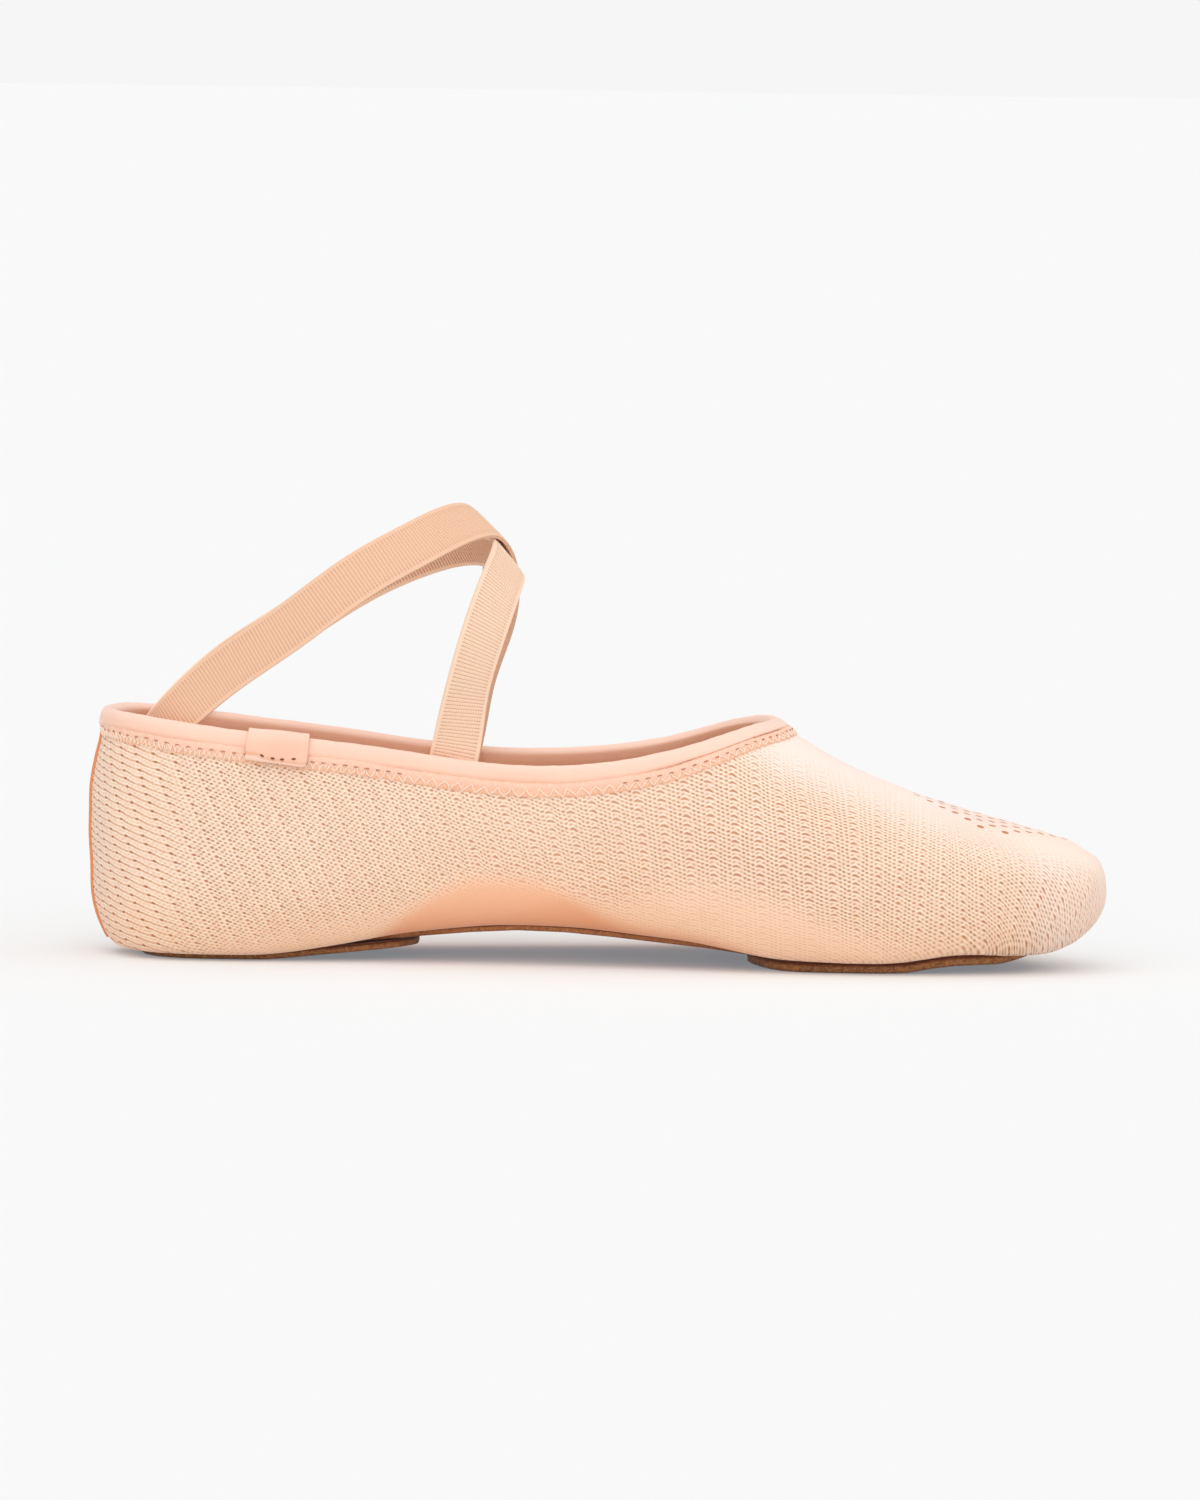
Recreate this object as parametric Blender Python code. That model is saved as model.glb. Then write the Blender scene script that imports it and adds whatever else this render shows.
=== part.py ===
"""Soft split-sole ballet slipper for a left foot.

A knitted upper, bound at the collar, is closed underneath by a thin arched panel with a
suede pad under the heel and one under the forefoot.  Two elastics cross over the instep.
X runs from heel to toe, Y to the outer side of the foot, Z up.  The floor is at Z = 0.
"""
import math

import bmesh
import bpy
import numpy as np
from mathutils import Matrix, Vector

MM = 0.001

# Driving sizes, in millimetres.
LENGTH = 240.0
BALL_WIDTH = 90.0
HEEL_HEIGHT = 57.2
THROAT_HEIGHT = 56.9
TOE_BOX_SHARE = 0.44

WALL = 1.3
GAP = 0.3
LAYER_GAP = 0.35
LINING_GAP = 0.5
PANEL_THICKNESS = 1.0
HEEL_PAD_THICKNESS = 1.8
FOREFOOT_PAD_THICKNESS = 2.4
INSOLE_THICKNESS = 1.2
BINDING_THICKNESS = 0.8
BINDING_LEG = 3.3
ELASTIC_WIDTH = 11.3
ELASTIC_THICKNESS = 1.0
SEAM_RISE = 0.6
SEAM_HALF_WIDTH = 1.3
SEAM_SPAN = (7.0, 51.0)
SEAM_FADE = 5.0

# How finely the upper and the elastics are divided.
RIBS = 74
RIB_EASE = 0.055
ELASTIC_SECTIONS = 44
PAD_SECTIONS = 22
SOLE_SECTIONS = 34
STATION_EASE = 0.13
UPPER_ROWS = 10
LOWER_ROWS = 6
ROLL_ROWS = 3

# The last the tables are drawn for.  The driving sizes stretch every row.
TABLE_LENGTH = 240.0
TABLE_WIDTH = 90.0
TABLE_HEIGHT = 57.2

# Ribs of the upper, from the back seam round the outer side, the toe and the inner side.
# wide: where the wall is widest.  low: where it turns under.  top: the raw collar edge.
RIB_COLUMNS = ("wide_x", "wide_y", "wide_z", "low_x", "low_y", "top_x", "top_y", "top_z")
WIDE_X = RIB_COLUMNS.index("wide_x")
LOW_X = RIB_COLUMNS.index("low_x")
TOP_X = RIB_COLUMNS.index("top_x")
WIDE = slice(WIDE_X, WIDE_X + 3)
LOW_PLAN = slice(LOW_X, LOW_X + 2)
TOP = slice(TOP_X, TOP_X + 3)
RIB_TABLE = (
    (-119.6, 0.0, 26.0, -111.0, 0.0, -115.0, 0.0, 57.2),
    (-111.9, 22.6, 26.0, -105.5, 15.5, -108.3, 19.7, 56.9),
    (-90.0, 31.5, 25.5, -90.0, 21.5, -90.0, 27.5, 54.3),
    (-62.0, 32.5, 24.0, -62.0, 21.5, -62.0, 28.7, 51.0),
    (-30.0, 35.5, 22.0, -30.0, 25.0, -31.0, 31.3, 46.9),
    (2.0, 40.0, 19.5, 2.0, 30.0, -2.0, 34.0, 46.9),
    (34.0, 44.5, 17.0, 34.0, 35.5, 18.5, 33.0, 50.2),
    (62.0, 43.0, 15.5, 60.0, 34.5, 30.0, 26.5, 54.0),
    (84.0, 36.0, 14.5, 80.0, 28.0, 36.3, 18.0, 55.9),
    (101.5, 22.5, 15.0, 94.0, 16.5, 39.4, 9.5, 56.7),
    (114.0, 5.0, 17.0, 103.0, 2.0, 40.8, 2.0, 56.9),
    (120.0, -14.0, 19.0, 106.5, -12.5, 41.0, -5.5, 56.9),
    (115.5, -29.0, 19.0, 102.0, -25.0, 40.0, -12.5, 56.9),
    (102.0, -38.5, 19.5, 90.0, -32.5, 37.2, -19.0, 56.6),
    (80.0, -43.5, 20.5, 73.0, -36.0, 31.5, -25.5, 55.2),
    (54.0, -45.0, 22.0, 51.0, -36.0, 22.5, -30.5, 52.4),
    (27.0, -41.5, 25.0, 27.0, -31.0, 9.0, -32.2, 49.0),
    (0.0, -35.0, 28.0, 0.0, -24.0, -7.0, -31.2, 46.8),
    (-25.0, -31.5, 29.5, -25.0, -19.5, -26.0, -28.8, 46.9),
    (-48.0, -31.0, 28.5, -48.0, -19.5, -48.0, -27.9, 49.8),
    (-69.0, -31.2, 27.0, -69.0, -20.5, -69.0, -27.7, 52.2),
    (-90.0, -31.5, 26.0, -90.0, -21.5, -90.0, -27.3, 54.4),
    (-111.9, -22.6, 26.0, -105.5, -15.5, -108.3, -19.7, 56.9),
)

# Underside of the arched panel along its inner and outer edges, and how far the knit rolls
# down round the sole parts below the margin that lies on the panel.
PANEL_COLUMNS = ("x", "inner_z", "outer_z", "roll")
PANEL_TABLE = (
    (-125.0, 2.1, 2.1, 2.3),
    (-80.0, 2.1, 2.1, 2.3),
    (-64.0, 3.6, 3.0, 1.6),
    (-48.0, 5.4, 3.9, 0.0),
    (-34.0, 7.3, 4.6, 0.0),
    (-20.0, 8.5, 4.9, 0.0),
    (-6.0, 8.1, 4.9, 0.0),
    (10.0, 6.4, 4.4, 0.0),
    (26.0, 4.7, 3.8, 0.0),
    (45.0, 2.7, 2.7, 1.5),
    (69.5, 2.7, 2.7, 1.5),
    (83.0, 4.5, 4.5, 1.2),
    (100.0, 4.9, 4.9, 2.2),
    (125.0, 6.4, 6.4, 2.4),
)

PANEL_SLOPE_WIDTH = 60.0

# Plan places of the sole parts.
HEEL_PAD_REACH = (-108.0, -42.4)
FOREFOOT_PAD_REACH = (35.4, 103.5)
PAD_INSET = 3.0
PAD_END_RADIUS = 18.0
ROLL_WIDTH = 6.0
MARGIN_INSET = 9.0
PANEL_INSET_UNDER_ROLL = 6.2
INSOLE_INSET = 1.0
PANEL_INSET_AT_ARCH = 1.0
ARCH_REACH = (-48.0, -24.0, 0.0, 26.0)

# Section of the wall between widest line and collar, as a superellipse.
VAMP_START = (-25.0, 12.0)
LAST_TOP = 82.0
INSTEP_SLOPE = 0.66
SIDE_FULLNESS = 2.2
VAMP_FULLNESS_INNER = 2.5
VAMP_FULLNESS_OUTER = 2.1
HEEL_END = (-112.0, -80.0)
TOE_END = (85.0, 112.0)
HEEL_ROUNDING = 2.8
TOE_ROUNDING = 1.8
SIDE_ROUNDING = 2.2

# Centre lines of the elastics above the collar, from the inner side of the foot to the outer.
ELASTIC_COLUMNS = ("x", "y", "z")
REAR_ELASTIC_TABLE = (
    (-91.0, -23.4, 65.9),
    (-73.0, -28.6, 79.2),
    (-56.7, -28.6, 91.4),
    (-43.5, -22.5, 98.8),
    (-34.5, -12.5, 102.9),
    (-28.3, -3.0, 103.2),
    (-24.9, 6.5, 97.8),
    (-24.0, 15.5, 89.8),
    (-25.6, 23.5, 79.0),
    (-30.6, 27.8, 63.5),
)
FRONT_ELASTIC_TABLE = (
    (-31.6, -27.0, 63.5),
    (-27.5, -24.5, 78.5),
    (-23.7, -16.5, 89.4),
    (-22.2, -5.0, 94.7),
    (-25.4, 5.5, 95.6),
    (-32.5, 15.5, 96.6),
    (-45.0, 24.8, 93.3),
    (-58.0, 29.3, 87.0),
    (-73.5, 29.0, 77.0),
    (-91.0, 23.6, 65.2),
)
ANCHOR_DROP = (7.0, 2.5)
# Where an elastic passes the collar, how far it leans back per millimetre of drop inside it,
# and its slack from the binding.
ANCHOR_COLUMNS = ("x", "lean", "slack")
REAR_ANCHOR = (-104.8, 0.9, 2.0)
FRONT_ANCHOR = (-34.7, 0.15, 0.8)
ANKLE_CENTRE = (-60.0, 0.0, 66.0)
ANKLE_AXES = (46.0, 32.0, 46.0)

# The bare folded tab on the inner side of the collar.
TAB_REACH = (-83.2, -68.3)
TAB_HEIGHT = 7.9
TAB_THICKNESS = 0.7
TAB_INNER_LEG = 4.2


def clear_scene():
    """Remove whatever the file holds."""
    for obj in list(bpy.data.objects):
        bpy.data.objects.remove(obj, do_unlink=True)


def material(name, colour, roughness):
    """A plain Principled material."""
    made = bpy.data.materials.new(name)
    made.use_nodes = True
    shader = made.node_tree.nodes["Principled BSDF"]
    shader.inputs["Base Color"].default_value = (*colour, 1.0)
    shader.inputs["Roughness"].default_value = roughness
    shader.inputs["Metallic"].default_value = 0.0
    return made


def add_object(name, vertices, faces, finish, sharp_degrees=40.0):
    """One closed body from points in millimetres."""
    mesh = bpy.data.meshes.new(name)
    mesh.from_pydata([tuple(MM * value for value in point) for point in vertices], [], faces)
    body = bmesh.new()
    body.from_mesh(mesh)
    bmesh.ops.recalc_face_normals(body, faces=body.faces[:])
    bmesh.ops.triangulate(body, faces=body.faces[:])
    body.to_mesh(mesh)
    body.free()
    mesh.shade_smooth()
    mesh.set_sharp_from_angle(angle=math.radians(sharp_degrees))
    mesh.materials.append(finish)
    obj = bpy.data.objects.new(name, mesh)
    bpy.context.scene.collection.objects.link(obj)
    return obj


def unit(vectors):
    """Vectors scaled to length one along their last axis."""
    return vectors / np.linalg.norm(vectors, axis=-1, keepdims=True)


def smoothstep(low, high, value):
    """0 below low, 1 above high, smooth between."""
    share = np.clip((np.asarray(value, float) - low) / (high - low), 0.0, 1.0)
    return share * share * (3.0 - 2.0 * share)


def spline(points, closed):
    """A smooth curve through rows of numbers, as a function of a share from 0 to 1."""
    rows = np.asarray(points, float)
    if closed:
        rows = np.vstack([rows, rows[:1]])
    steps = np.linalg.norm(np.diff(rows[:, :3], axis=0), axis=1)
    knots = np.concatenate([[0.0], np.cumsum(steps)])
    knots /= knots[-1]
    steps = np.diff(knots)
    slopes = np.diff(rows, axis=0) / steps[:, None]
    count = len(rows)
    matrix = np.zeros((count, count))
    target = np.zeros_like(rows)
    for i in range(1, count - 1):
        matrix[i, i - 1] = steps[i - 1]
        matrix[i, i] = 2.0 * (steps[i - 1] + steps[i])
        matrix[i, i + 1] = steps[i]
        target[i] = 6.0 * (slopes[i] - slopes[i - 1])
    if closed:
        matrix[0, 0] = 2.0 * (steps[0] + steps[-1])
        matrix[0, 1] = steps[0]
        matrix[0, -2] = steps[-1]
        target[0] = 6.0 * (slopes[0] - slopes[-1])
        matrix[-1, 0] = 1.0
        matrix[-1, -1] = -1.0
    else:
        matrix[0, 0] = 1.0
        matrix[-1, -1] = 1.0
    bends = np.linalg.solve(matrix, target)

    def evaluate(shares):
        at = np.mod(shares, 1.0) if closed else np.clip(shares, 0.0, 1.0)
        span = np.clip(np.searchsorted(knots, at, side="right") - 1, 0, count - 2)
        width = steps[span][:, None]
        after = (at - knots[span])[:, None]
        before = width - after
        return (
            (bends[span] * before**3 + bends[span + 1] * after**3) / (6.0 * width)
            + (rows[span] / width - bends[span] * width / 6.0) * before
            + (rows[span + 1] / width - bends[span + 1] * width / 6.0) * after
        )

    return evaluate


def monotone(table, column, value):
    """Read a column of a table at x, flat between equal rows and with no overshoot."""
    rows = np.asarray(table, float)
    xs = rows[:, 0]
    ys = rows[:, column]
    steps = np.diff(xs)
    slopes = np.diff(ys) / steps
    tangents = np.zeros_like(ys)
    for i in range(1, len(xs) - 1):
        if slopes[i - 1] * slopes[i] > 0.0:
            tangents[i] = 2.0 / (1.0 / slopes[i - 1] + 1.0 / slopes[i])
    at = np.clip(np.asarray(value, float), xs[0], xs[-1])
    span = np.clip(np.searchsorted(xs, at, side="right") - 1, 0, len(xs) - 2)
    share = (at - xs[span]) / steps[span]
    rise = share * share * (3.0 - 2.0 * share)
    lead = share * (1.0 - share) ** 2 * steps[span] * tangents[span]
    trail = share * share * (share - 1.0) * steps[span] * tangents[span + 1]
    return ys[span] + rise * (ys[span + 1] - ys[span]) + lead + trail


def stretched_ribs():
    """The rib table at the driving sizes."""
    along = LENGTH / TABLE_LENGTH
    across = BALL_WIDTH / TABLE_WIDTH
    up = HEEL_HEIGHT / TABLE_HEIGHT
    return np.asarray(RIB_TABLE, float) * np.array([along, across, up, along, across, along, across, up])


rib_curve = spline(stretched_ribs(), closed=True)
dense_shares = np.linspace(0.0, 1.0, 2401)[:-1]
dense_ribs = rib_curve(dense_shares)
toe_index = int(np.argmax(dense_ribs[:, 0]))
tip_y = dense_ribs[toe_index, 1]
tip_z = dense_ribs[toe_index, 2]
throat_index = int(np.argmax(dense_ribs[:, TOP_X]))
throat_x = dense_ribs[throat_index, TOP_X]
throat_y = dense_ribs[throat_index, TOP_X + 1]
loop_length = float(np.linalg.norm(np.diff(dense_ribs[:, :3], axis=0), axis=1).sum())


def side_rows(side):
    """Dense ribs of the outer (+1) or inner (-1) side, from heel to toe."""
    if side > 0:
        return dense_ribs[: toe_index + 1]
    return np.vstack([dense_ribs[toe_index:], dense_ribs[:1]])[::-1]


def side_share(side, column, value):
    """Share along the rib curve where a column of one side reaches a value."""
    if side > 0:
        shares = dense_shares[: toe_index + 1]
    else:
        shares = np.concatenate([dense_shares[toe_index:], [1.0]])[::-1]
    rising = np.maximum.accumulate(side_rows(side)[:, column])
    return float(np.interp(value, rising, shares))


def ridge_height(x):
    """Height of the vamp's ridge from the throat to the toe, and of the instep behind it."""
    share = np.clip((x - throat_x) / (LENGTH / 2.0 - throat_x), 0.0, 1.0)
    scoop = TOE_BOX_SHARE + (1.0 - TOE_BOX_SHARE) * (1.0 - share) ** 2.5
    rounding = (1.0 - share**3) ** (1.0 / 3.0)
    vamp = tip_z + (THROAT_HEIGHT - tip_z) * scoop * rounding
    behind = np.maximum(throat_x - x, 0.0)
    return np.minimum(vamp + INSTEP_SLOPE * behind, LAST_TOP)


def ridge_place(x):
    """How far the ridge lies to the side at x."""
    share = np.clip((x - throat_x) / (LENGTH / 2.0 - throat_x), 0.0, 1.0)
    return throat_y + (tip_y - throat_y) * share


def last_height(x, y):
    """Height of the last's upper side over a point of the plan."""
    middle = ridge_place(x)
    outer = side_rows(1)
    inner = side_rows(-1)
    half_outer = np.interp(x, outer[:, 0], outer[:, 1]) - middle
    half_inner = middle - np.interp(x, inner[:, 0], inner[:, 1])
    is_outer = y > middle
    half = np.where(is_outer, half_outer, half_inner)
    base = np.where(
        is_outer,
        np.interp(x, outer[:, 0], outer[:, 2]),
        np.interp(x, inner[:, 0], inner[:, 2]),
    )
    fullness = np.where(is_outer, VAMP_FULLNESS_OUTER, VAMP_FULLNESS_INNER)
    across = np.clip(np.abs(y - middle) / np.maximum(half, 1e-6), 0.0, 1.0)
    return base + (ridge_height(x) - base) * (1.0 - across**fullness) ** (1.0 / fullness)


def upper_arc(ribs, share):
    """Points of the wall from the widest line (share 0) to the collar edge (share 1)."""
    wide = ribs[:, WIDE]
    top = ribs[:, TOP]
    power = 2.0 / SIDE_FULLNESS
    reach = (top[:, 2] - wide[:, 2]) / (ridge_height(np.minimum(top[:, 0], throat_x)) - wide[:, 2])
    end = np.arcsin(np.clip(reach, 0.0, 1.0) ** (1.0 / power))
    turn = end * share
    fall_end = 1.0 - np.cos(end) ** power
    fall = (1.0 - np.cos(turn) ** power) / fall_end
    plan = wide[:, :2] + (top[:, :2] - wide[:, :2]) * fall[:, None]
    plain = wide[:, 2] + (top[:, 2] - wide[:, 2]) * np.sin(turn) ** power / np.sin(end) ** power
    over_last = last_height(plan[:, 0], plan[:, 1])
    miss = top[:, 2] - last_height(top[:, 0], top[:, 1])
    over_last = over_last + miss * smoothstep(0.0, 1.0, share)
    weight = smoothstep(VAMP_START[0], VAMP_START[1], top[:, 0])
    height = plain * (1.0 - weight) + over_last * weight
    return np.column_stack([plan, height])


def panel_column(name, x):
    """Read one column of the panel's table at x."""
    return monotone(PANEL_TABLE, PANEL_COLUMNS.index(name), x)


def panel_under(x, y):
    """Height of the panel's underside, which slopes evenly from its inner to its outer edge."""
    share = np.clip(0.5 + np.asarray(y) / PANEL_SLOPE_WIDTH, 0.0, 1.0)
    inner = panel_column("inner_z", x)
    outer = panel_column("outer_z", x)
    return inner + (outer - inner) * share


def margin_under(x, y):
    """Height of the underside of the wall's turned-in margin, just over the panel."""
    return panel_under(x, y) + PANEL_THICKNESS + LAYER_GAP


def low_points(ribs):
    """Lowest points of the ribs, where the wall turns under."""
    x, y = ribs[:, LOW_PLAN].T
    return np.column_stack([x, y, margin_under(x, y) - panel_column("roll", x)])


def lower_arc(ribs, share):
    """Points of the wall from the widest line (share 0) down to where it turns under."""
    wide = ribs[:, WIDE]
    low = low_points(ribs)
    heel = 1.0 - smoothstep(HEEL_END[0], HEEL_END[1], wide[:, 0])
    toe = smoothstep(TOE_END[0], TOE_END[1], wide[:, 0])
    rounding = SIDE_ROUNDING + (HEEL_ROUNDING - SIDE_ROUNDING) * heel
    rounding = rounding + (TOE_ROUNDING - SIDE_ROUNDING) * toe
    turn = 0.5 * math.pi * share
    inward = 1.0 - math.cos(turn) ** (2.0 / rounding)
    down = math.sin(turn) ** (2.0 / rounding)
    plan = wide[:, :2] + (low[:, :2] - wide[:, :2]) * inward[:, None]
    height = wide[:, 2] + (low[:, 2] - wide[:, 2]) * down
    return np.column_stack([plan, height])


def inward_normals(plan):
    """Unit normals of a closed plan loop, pointing to its inside."""
    along = unit(np.roll(plan, -1, axis=0) - np.roll(plan, 1, axis=0))
    return np.column_stack([along[:, 1], -along[:, 0]])


def roll_points(ribs, inset):
    """Points of the wall under the foot, a given inset from where it turns under."""
    low = low_points(ribs)
    plan = low[:, :2] + inward_normals(low[:, :2]) * inset
    level = margin_under(plan[:, 0], plan[:, 1])
    rise = smoothstep(0.0, ROLL_WIDTH, inset)
    return np.column_stack([plan, low[:, 2] + (level - low[:, 2]) * rise])


def rib_shares():
    """Where the ribs stand: evenly round the upper, closer at toe and heel and at the back seam."""
    side = RIBS // 2
    spread = np.linspace(0.0, 1.0, side + 1)
    eased = spread - RIB_EASE * np.sin(2.0 * math.pi * spread)
    toe_share = dense_shares[toe_index]
    outer = eased[1:] * toe_share
    inner = toe_share + eased[1:-1] * (1.0 - toe_share)
    seam = SEAM_HALF_WIDTH / loop_length
    return np.concatenate([[0.0, seam], outer, inner, [1.0 - seam]])


def wall_grid(shares):
    """Outer surface of the upper: rows from the margin's edge to the collar, by ribs."""
    ribs = rib_curve(shares)
    rows = [roll_points(ribs, MARGIN_INSET)]
    for i in range(ROLL_ROWS):
        rows.append(roll_points(ribs, ROLL_WIDTH * (1.0 - i / ROLL_ROWS)))
    for i in range(LOWER_ROWS):
        rows.append(lower_arc(ribs, 1.0 - i / LOWER_ROWS))
    for i in range(UPPER_ROWS + 1):
        rows.append(upper_arc(ribs, i / UPPER_ROWS))
    return np.array(rows)


def grid_normals(grid):
    """Outward unit normals of the wall grid."""
    round_wall = np.roll(grid, -1, axis=1) - np.roll(grid, 1, axis=1)
    up_wall = np.gradient(grid, axis=0)
    return unit(np.cross(up_wall, round_wall))


def collar_frame(shares):
    """Collar edge points with the wall's outward normal and its direction up the wall."""
    shares = np.asarray(shares, float)
    nudge = 0.002
    edge = upper_arc(rib_curve(shares), 1.0)
    below = upper_arc(rib_curve(shares), 0.9)
    along = upper_arc(rib_curve(shares + nudge), 1.0) - upper_arc(rib_curve(shares - nudge), 1.0)
    along = unit(along)
    outward = unit(np.cross(edge - below, along))
    upward = unit(np.cross(along, outward))
    return edge, outward, upward


def ring_faces(rows, columns):
    """Quads between closed rings of points, the last ring joined to the first."""
    faces = []
    for row in range(rows):
        after = (row + 1) % rows
        for column in range(columns):
            beside = (column + 1) % columns
            faces.append(
                (
                    row * columns + column,
                    row * columns + beside,
                    after * columns + beside,
                    after * columns + column,
                )
            )
    return faces


def capped_faces(rows, columns):
    """Quads between rings of points, with the first and the last ring filled."""
    faces = ring_faces(rows, columns)[: (rows - 1) * columns]
    faces.append(tuple(reversed(range(columns))))
    faces.append(tuple(range((rows - 1) * columns, rows * columns)))
    return faces


def build_upper(finish):
    """The knitted wall: outer skin, inner skin and the two edges between them."""
    shares = rib_shares()
    grid = wall_grid(shares)
    normals = grid_normals(grid)
    inner = grid - normals * WALL
    outer = grid.copy()
    height = grid[:, 0, 2]
    foot = smoothstep(SEAM_SPAN[0], SEAM_SPAN[0] + SEAM_FADE, height)
    head = 1.0 - smoothstep(SEAM_SPAN[1] - SEAM_FADE, SEAM_SPAN[1], height)
    rise = SEAM_RISE * foot * head
    outer[:, 0] += normals[:, 0] * rise[:, None]
    skin = np.concatenate([outer, inner[::-1]])
    faces = ring_faces(skin.shape[0], len(shares))
    return add_object("upper", skin.reshape(-1, 3), faces, finish)


def clip_section(lift, outer_leg, inner_leg, thickness):
    """A strip folded over the collar edge, as (outward, upward) places round its section.

    lift is the space between the wall and the strip.
    """
    out_near = lift
    out_far = lift + thickness
    in_near = -WALL - lift
    in_far = in_near - thickness
    crown = lift + thickness
    return (
        (out_near, -outer_leg),
        (out_far, -outer_leg + 0.3),
        (out_far + 0.05, -0.8),
        (out_far - 0.3, crown - 0.55),
        (out_far - 1.0, crown),
        (in_far + 1.0, crown),
        (in_far + 0.3, crown - 0.55),
        (in_far - 0.05, -0.8),
        (in_far, -inner_leg + 0.3),
        (in_near, -inner_leg),
        (in_near, lift),
        (out_near, lift),
    )


def build_binding(finish):
    """Bias strip folded over the whole collar edge."""
    shares = rib_shares()
    edge, outward, upward = collar_frame(shares)
    rings = []
    for i in range(len(shares)):
        section = clip_section(GAP, BINDING_LEG, BINDING_LEG - 0.3, BINDING_THICKNESS)
        ring = [edge[i] + outward[i] * place[0] + upward[i] * place[1] for place in section]
        rings.append(ring)
    points = np.array(rings).reshape(-1, 3)
    return add_object("collar_binding", points, ring_faces(len(shares), len(section)), finish)


def build_tab(finish):
    """Bare tab folded over the binding on the inner side."""
    first = side_share(-1, TOP_X, TAB_REACH[0])
    last = side_share(-1, TOP_X, TAB_REACH[1])
    shares = np.linspace(first, last, 6)
    edge, outward, upward = collar_frame(shares)
    lift = GAP + BINDING_THICKNESS + GAP
    leg = TAB_HEIGHT - lift - TAB_THICKNESS
    section = clip_section(lift, leg, TAB_INNER_LEG, TAB_THICKNESS)
    rings = []
    for i in range(len(shares)):
        rings.append([edge[i] + outward[i] * place[0] + upward[i] * place[1] for place in section])
    points = np.array(rings).reshape(-1, 3)
    return add_object("collar_tab", points, capped_faces(len(shares), len(section)), finish)


def low_edge(side, inset, x):
    """Plan edge of the foot's underside at x, moved inward."""
    plan = dense_ribs[:, LOW_PLAN]
    moved = plan + inward_normals(plan) * inset
    moved = np.roll(moved, -int(np.argmin(moved[:, 0])), axis=0)
    front = int(np.argmax(moved[:, 0]))
    rows = moved[: front + 1] if side > 0 else moved[front:][::-1]
    return np.interp(x, np.maximum.accumulate(rows[:, 0]), rows[:, 1])


def low_reach(inset):
    """Rear and front ends of the foot's underside, moved inward."""
    plan = dense_ribs[:, LOW_PLAN]
    moved = plan + inward_normals(plan) * inset
    return float(moved[:, 0].min()), float(moved[:, 0].max())


def stations(first, last, count):
    """Places from first to last, gathered towards both ends."""
    spread = np.linspace(0.0, 1.0, count)
    eased = spread - STATION_EASE * np.sin(2.0 * math.pi * spread)
    return first + (last - first) * eased


def layer(name, xs, left, right, under, thickness, bevel, finish):
    """A thin flat piece of the sole: sections across the foot, lofted along it."""
    rings = []
    for i, x in enumerate(xs):
        low_left = under(x, left[i])
        low_right = under(x, right[i])
        rings.append(
            (
                (x, left[i], low_left + thickness),
                (x, left[i], low_left + bevel),
                (x, left[i] - bevel, under(x, left[i] - bevel)),
                (x, right[i] + bevel, under(x, right[i] + bevel)),
                (x, right[i], low_right + bevel),
                (x, right[i], low_right + thickness),
            )
        )
    points = np.array(rings, float).reshape(-1, 3)
    return add_object(name, points, capped_faces(len(xs), 6), finish)


def rounded_end(x, end, radius):
    """How much of the width is left close to a rounded end."""
    share = np.clip(1.0 - abs(end - x) / radius, 0.0, 1.0)
    return (1.0 - (0.97 * share) ** 3) ** (1.0 / 3.0)


def pad(name, reach, thickness, cut_end, finish):
    """A suede pad under the panel, with rounded corners where it is cut across."""
    xs = stations(reach[0], reach[1], PAD_SECTIONS)
    left = low_edge(1, PAD_INSET, xs)
    right = low_edge(-1, PAD_INSET, xs)
    middle = 0.5 * (left + right)
    half = 0.5 * (left - right)
    half = np.maximum(half * rounded_end(xs, cut_end, PAD_END_RADIUS), 2.0)

    def under(x, y):
        return panel_under(x, y) - GAP - thickness

    return layer(name, xs, middle + half, middle - half, under, thickness, 0.35, finish)


def panel_inset(x):
    """How far the panel's edge lies inside the foot's underside."""
    under_roll = smoothstep(ARCH_REACH[1], ARCH_REACH[0], x) + smoothstep(ARCH_REACH[2], ARCH_REACH[3], x)
    return PANEL_INSET_AT_ARCH + (PANEL_INSET_UNDER_ROLL - PANEL_INSET_AT_ARCH) * under_roll


def build_panel(finish):
    """Thin arched panel that closes the upper underneath."""
    rear, front = low_reach(PANEL_INSET_UNDER_ROLL)
    xs = stations(rear, front, SOLE_SECTIONS)
    edges = []
    for side in (1, -1):
        near = low_edge(side, PANEL_INSET_AT_ARCH, xs)
        far = low_edge(side, PANEL_INSET_UNDER_ROLL, xs)
        share = (panel_inset(xs) - PANEL_INSET_AT_ARCH) / (PANEL_INSET_UNDER_ROLL - PANEL_INSET_AT_ARCH)
        edges.append(near + (far - near) * share)
    left = np.maximum(edges[0], 0.5 * (edges[0] + edges[1]) + 2.0)
    right = np.minimum(edges[1], 0.5 * (edges[0] + edges[1]) - 2.0)
    return layer("arch_panel", xs, left, right, panel_under, PANEL_THICKNESS, 0.25, finish)


def build_insole(finish):
    """Thin sock lining that lies on the turned-in margin."""
    rear, front = low_reach(INSOLE_INSET)
    xs = stations(rear, front, SOLE_SECTIONS)
    left = low_edge(1, INSOLE_INSET, xs)
    right = low_edge(-1, INSOLE_INSET, xs)
    middle = 0.5 * (left + right)
    half = np.maximum(0.5 * (left - right), 2.0)

    def under(x, y):
        return margin_under(x, y) + WALL + LINING_GAP

    return layer("insole", xs, middle + half, middle - half, under, INSOLE_THICKNESS, 0.25, finish)


def anchor(side, x, lean, slack):
    """Hidden end of an elastic inside the collar, lowest point first, with its normals."""
    depth = WALL + GAP + BINDING_THICKNESS + GAP + 0.5 * ELASTIC_THICKNESS + slack
    points = []
    normals = []
    for drop in ANCHOR_DROP:
        share = side_share(side, TOP_X, x - lean * drop)
        edge, outward, upward = collar_frame([share])
        points.append(edge[0] - outward[0] * depth - upward[0] * drop)
        normals.append(outward[0])
    return points, normals


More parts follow.
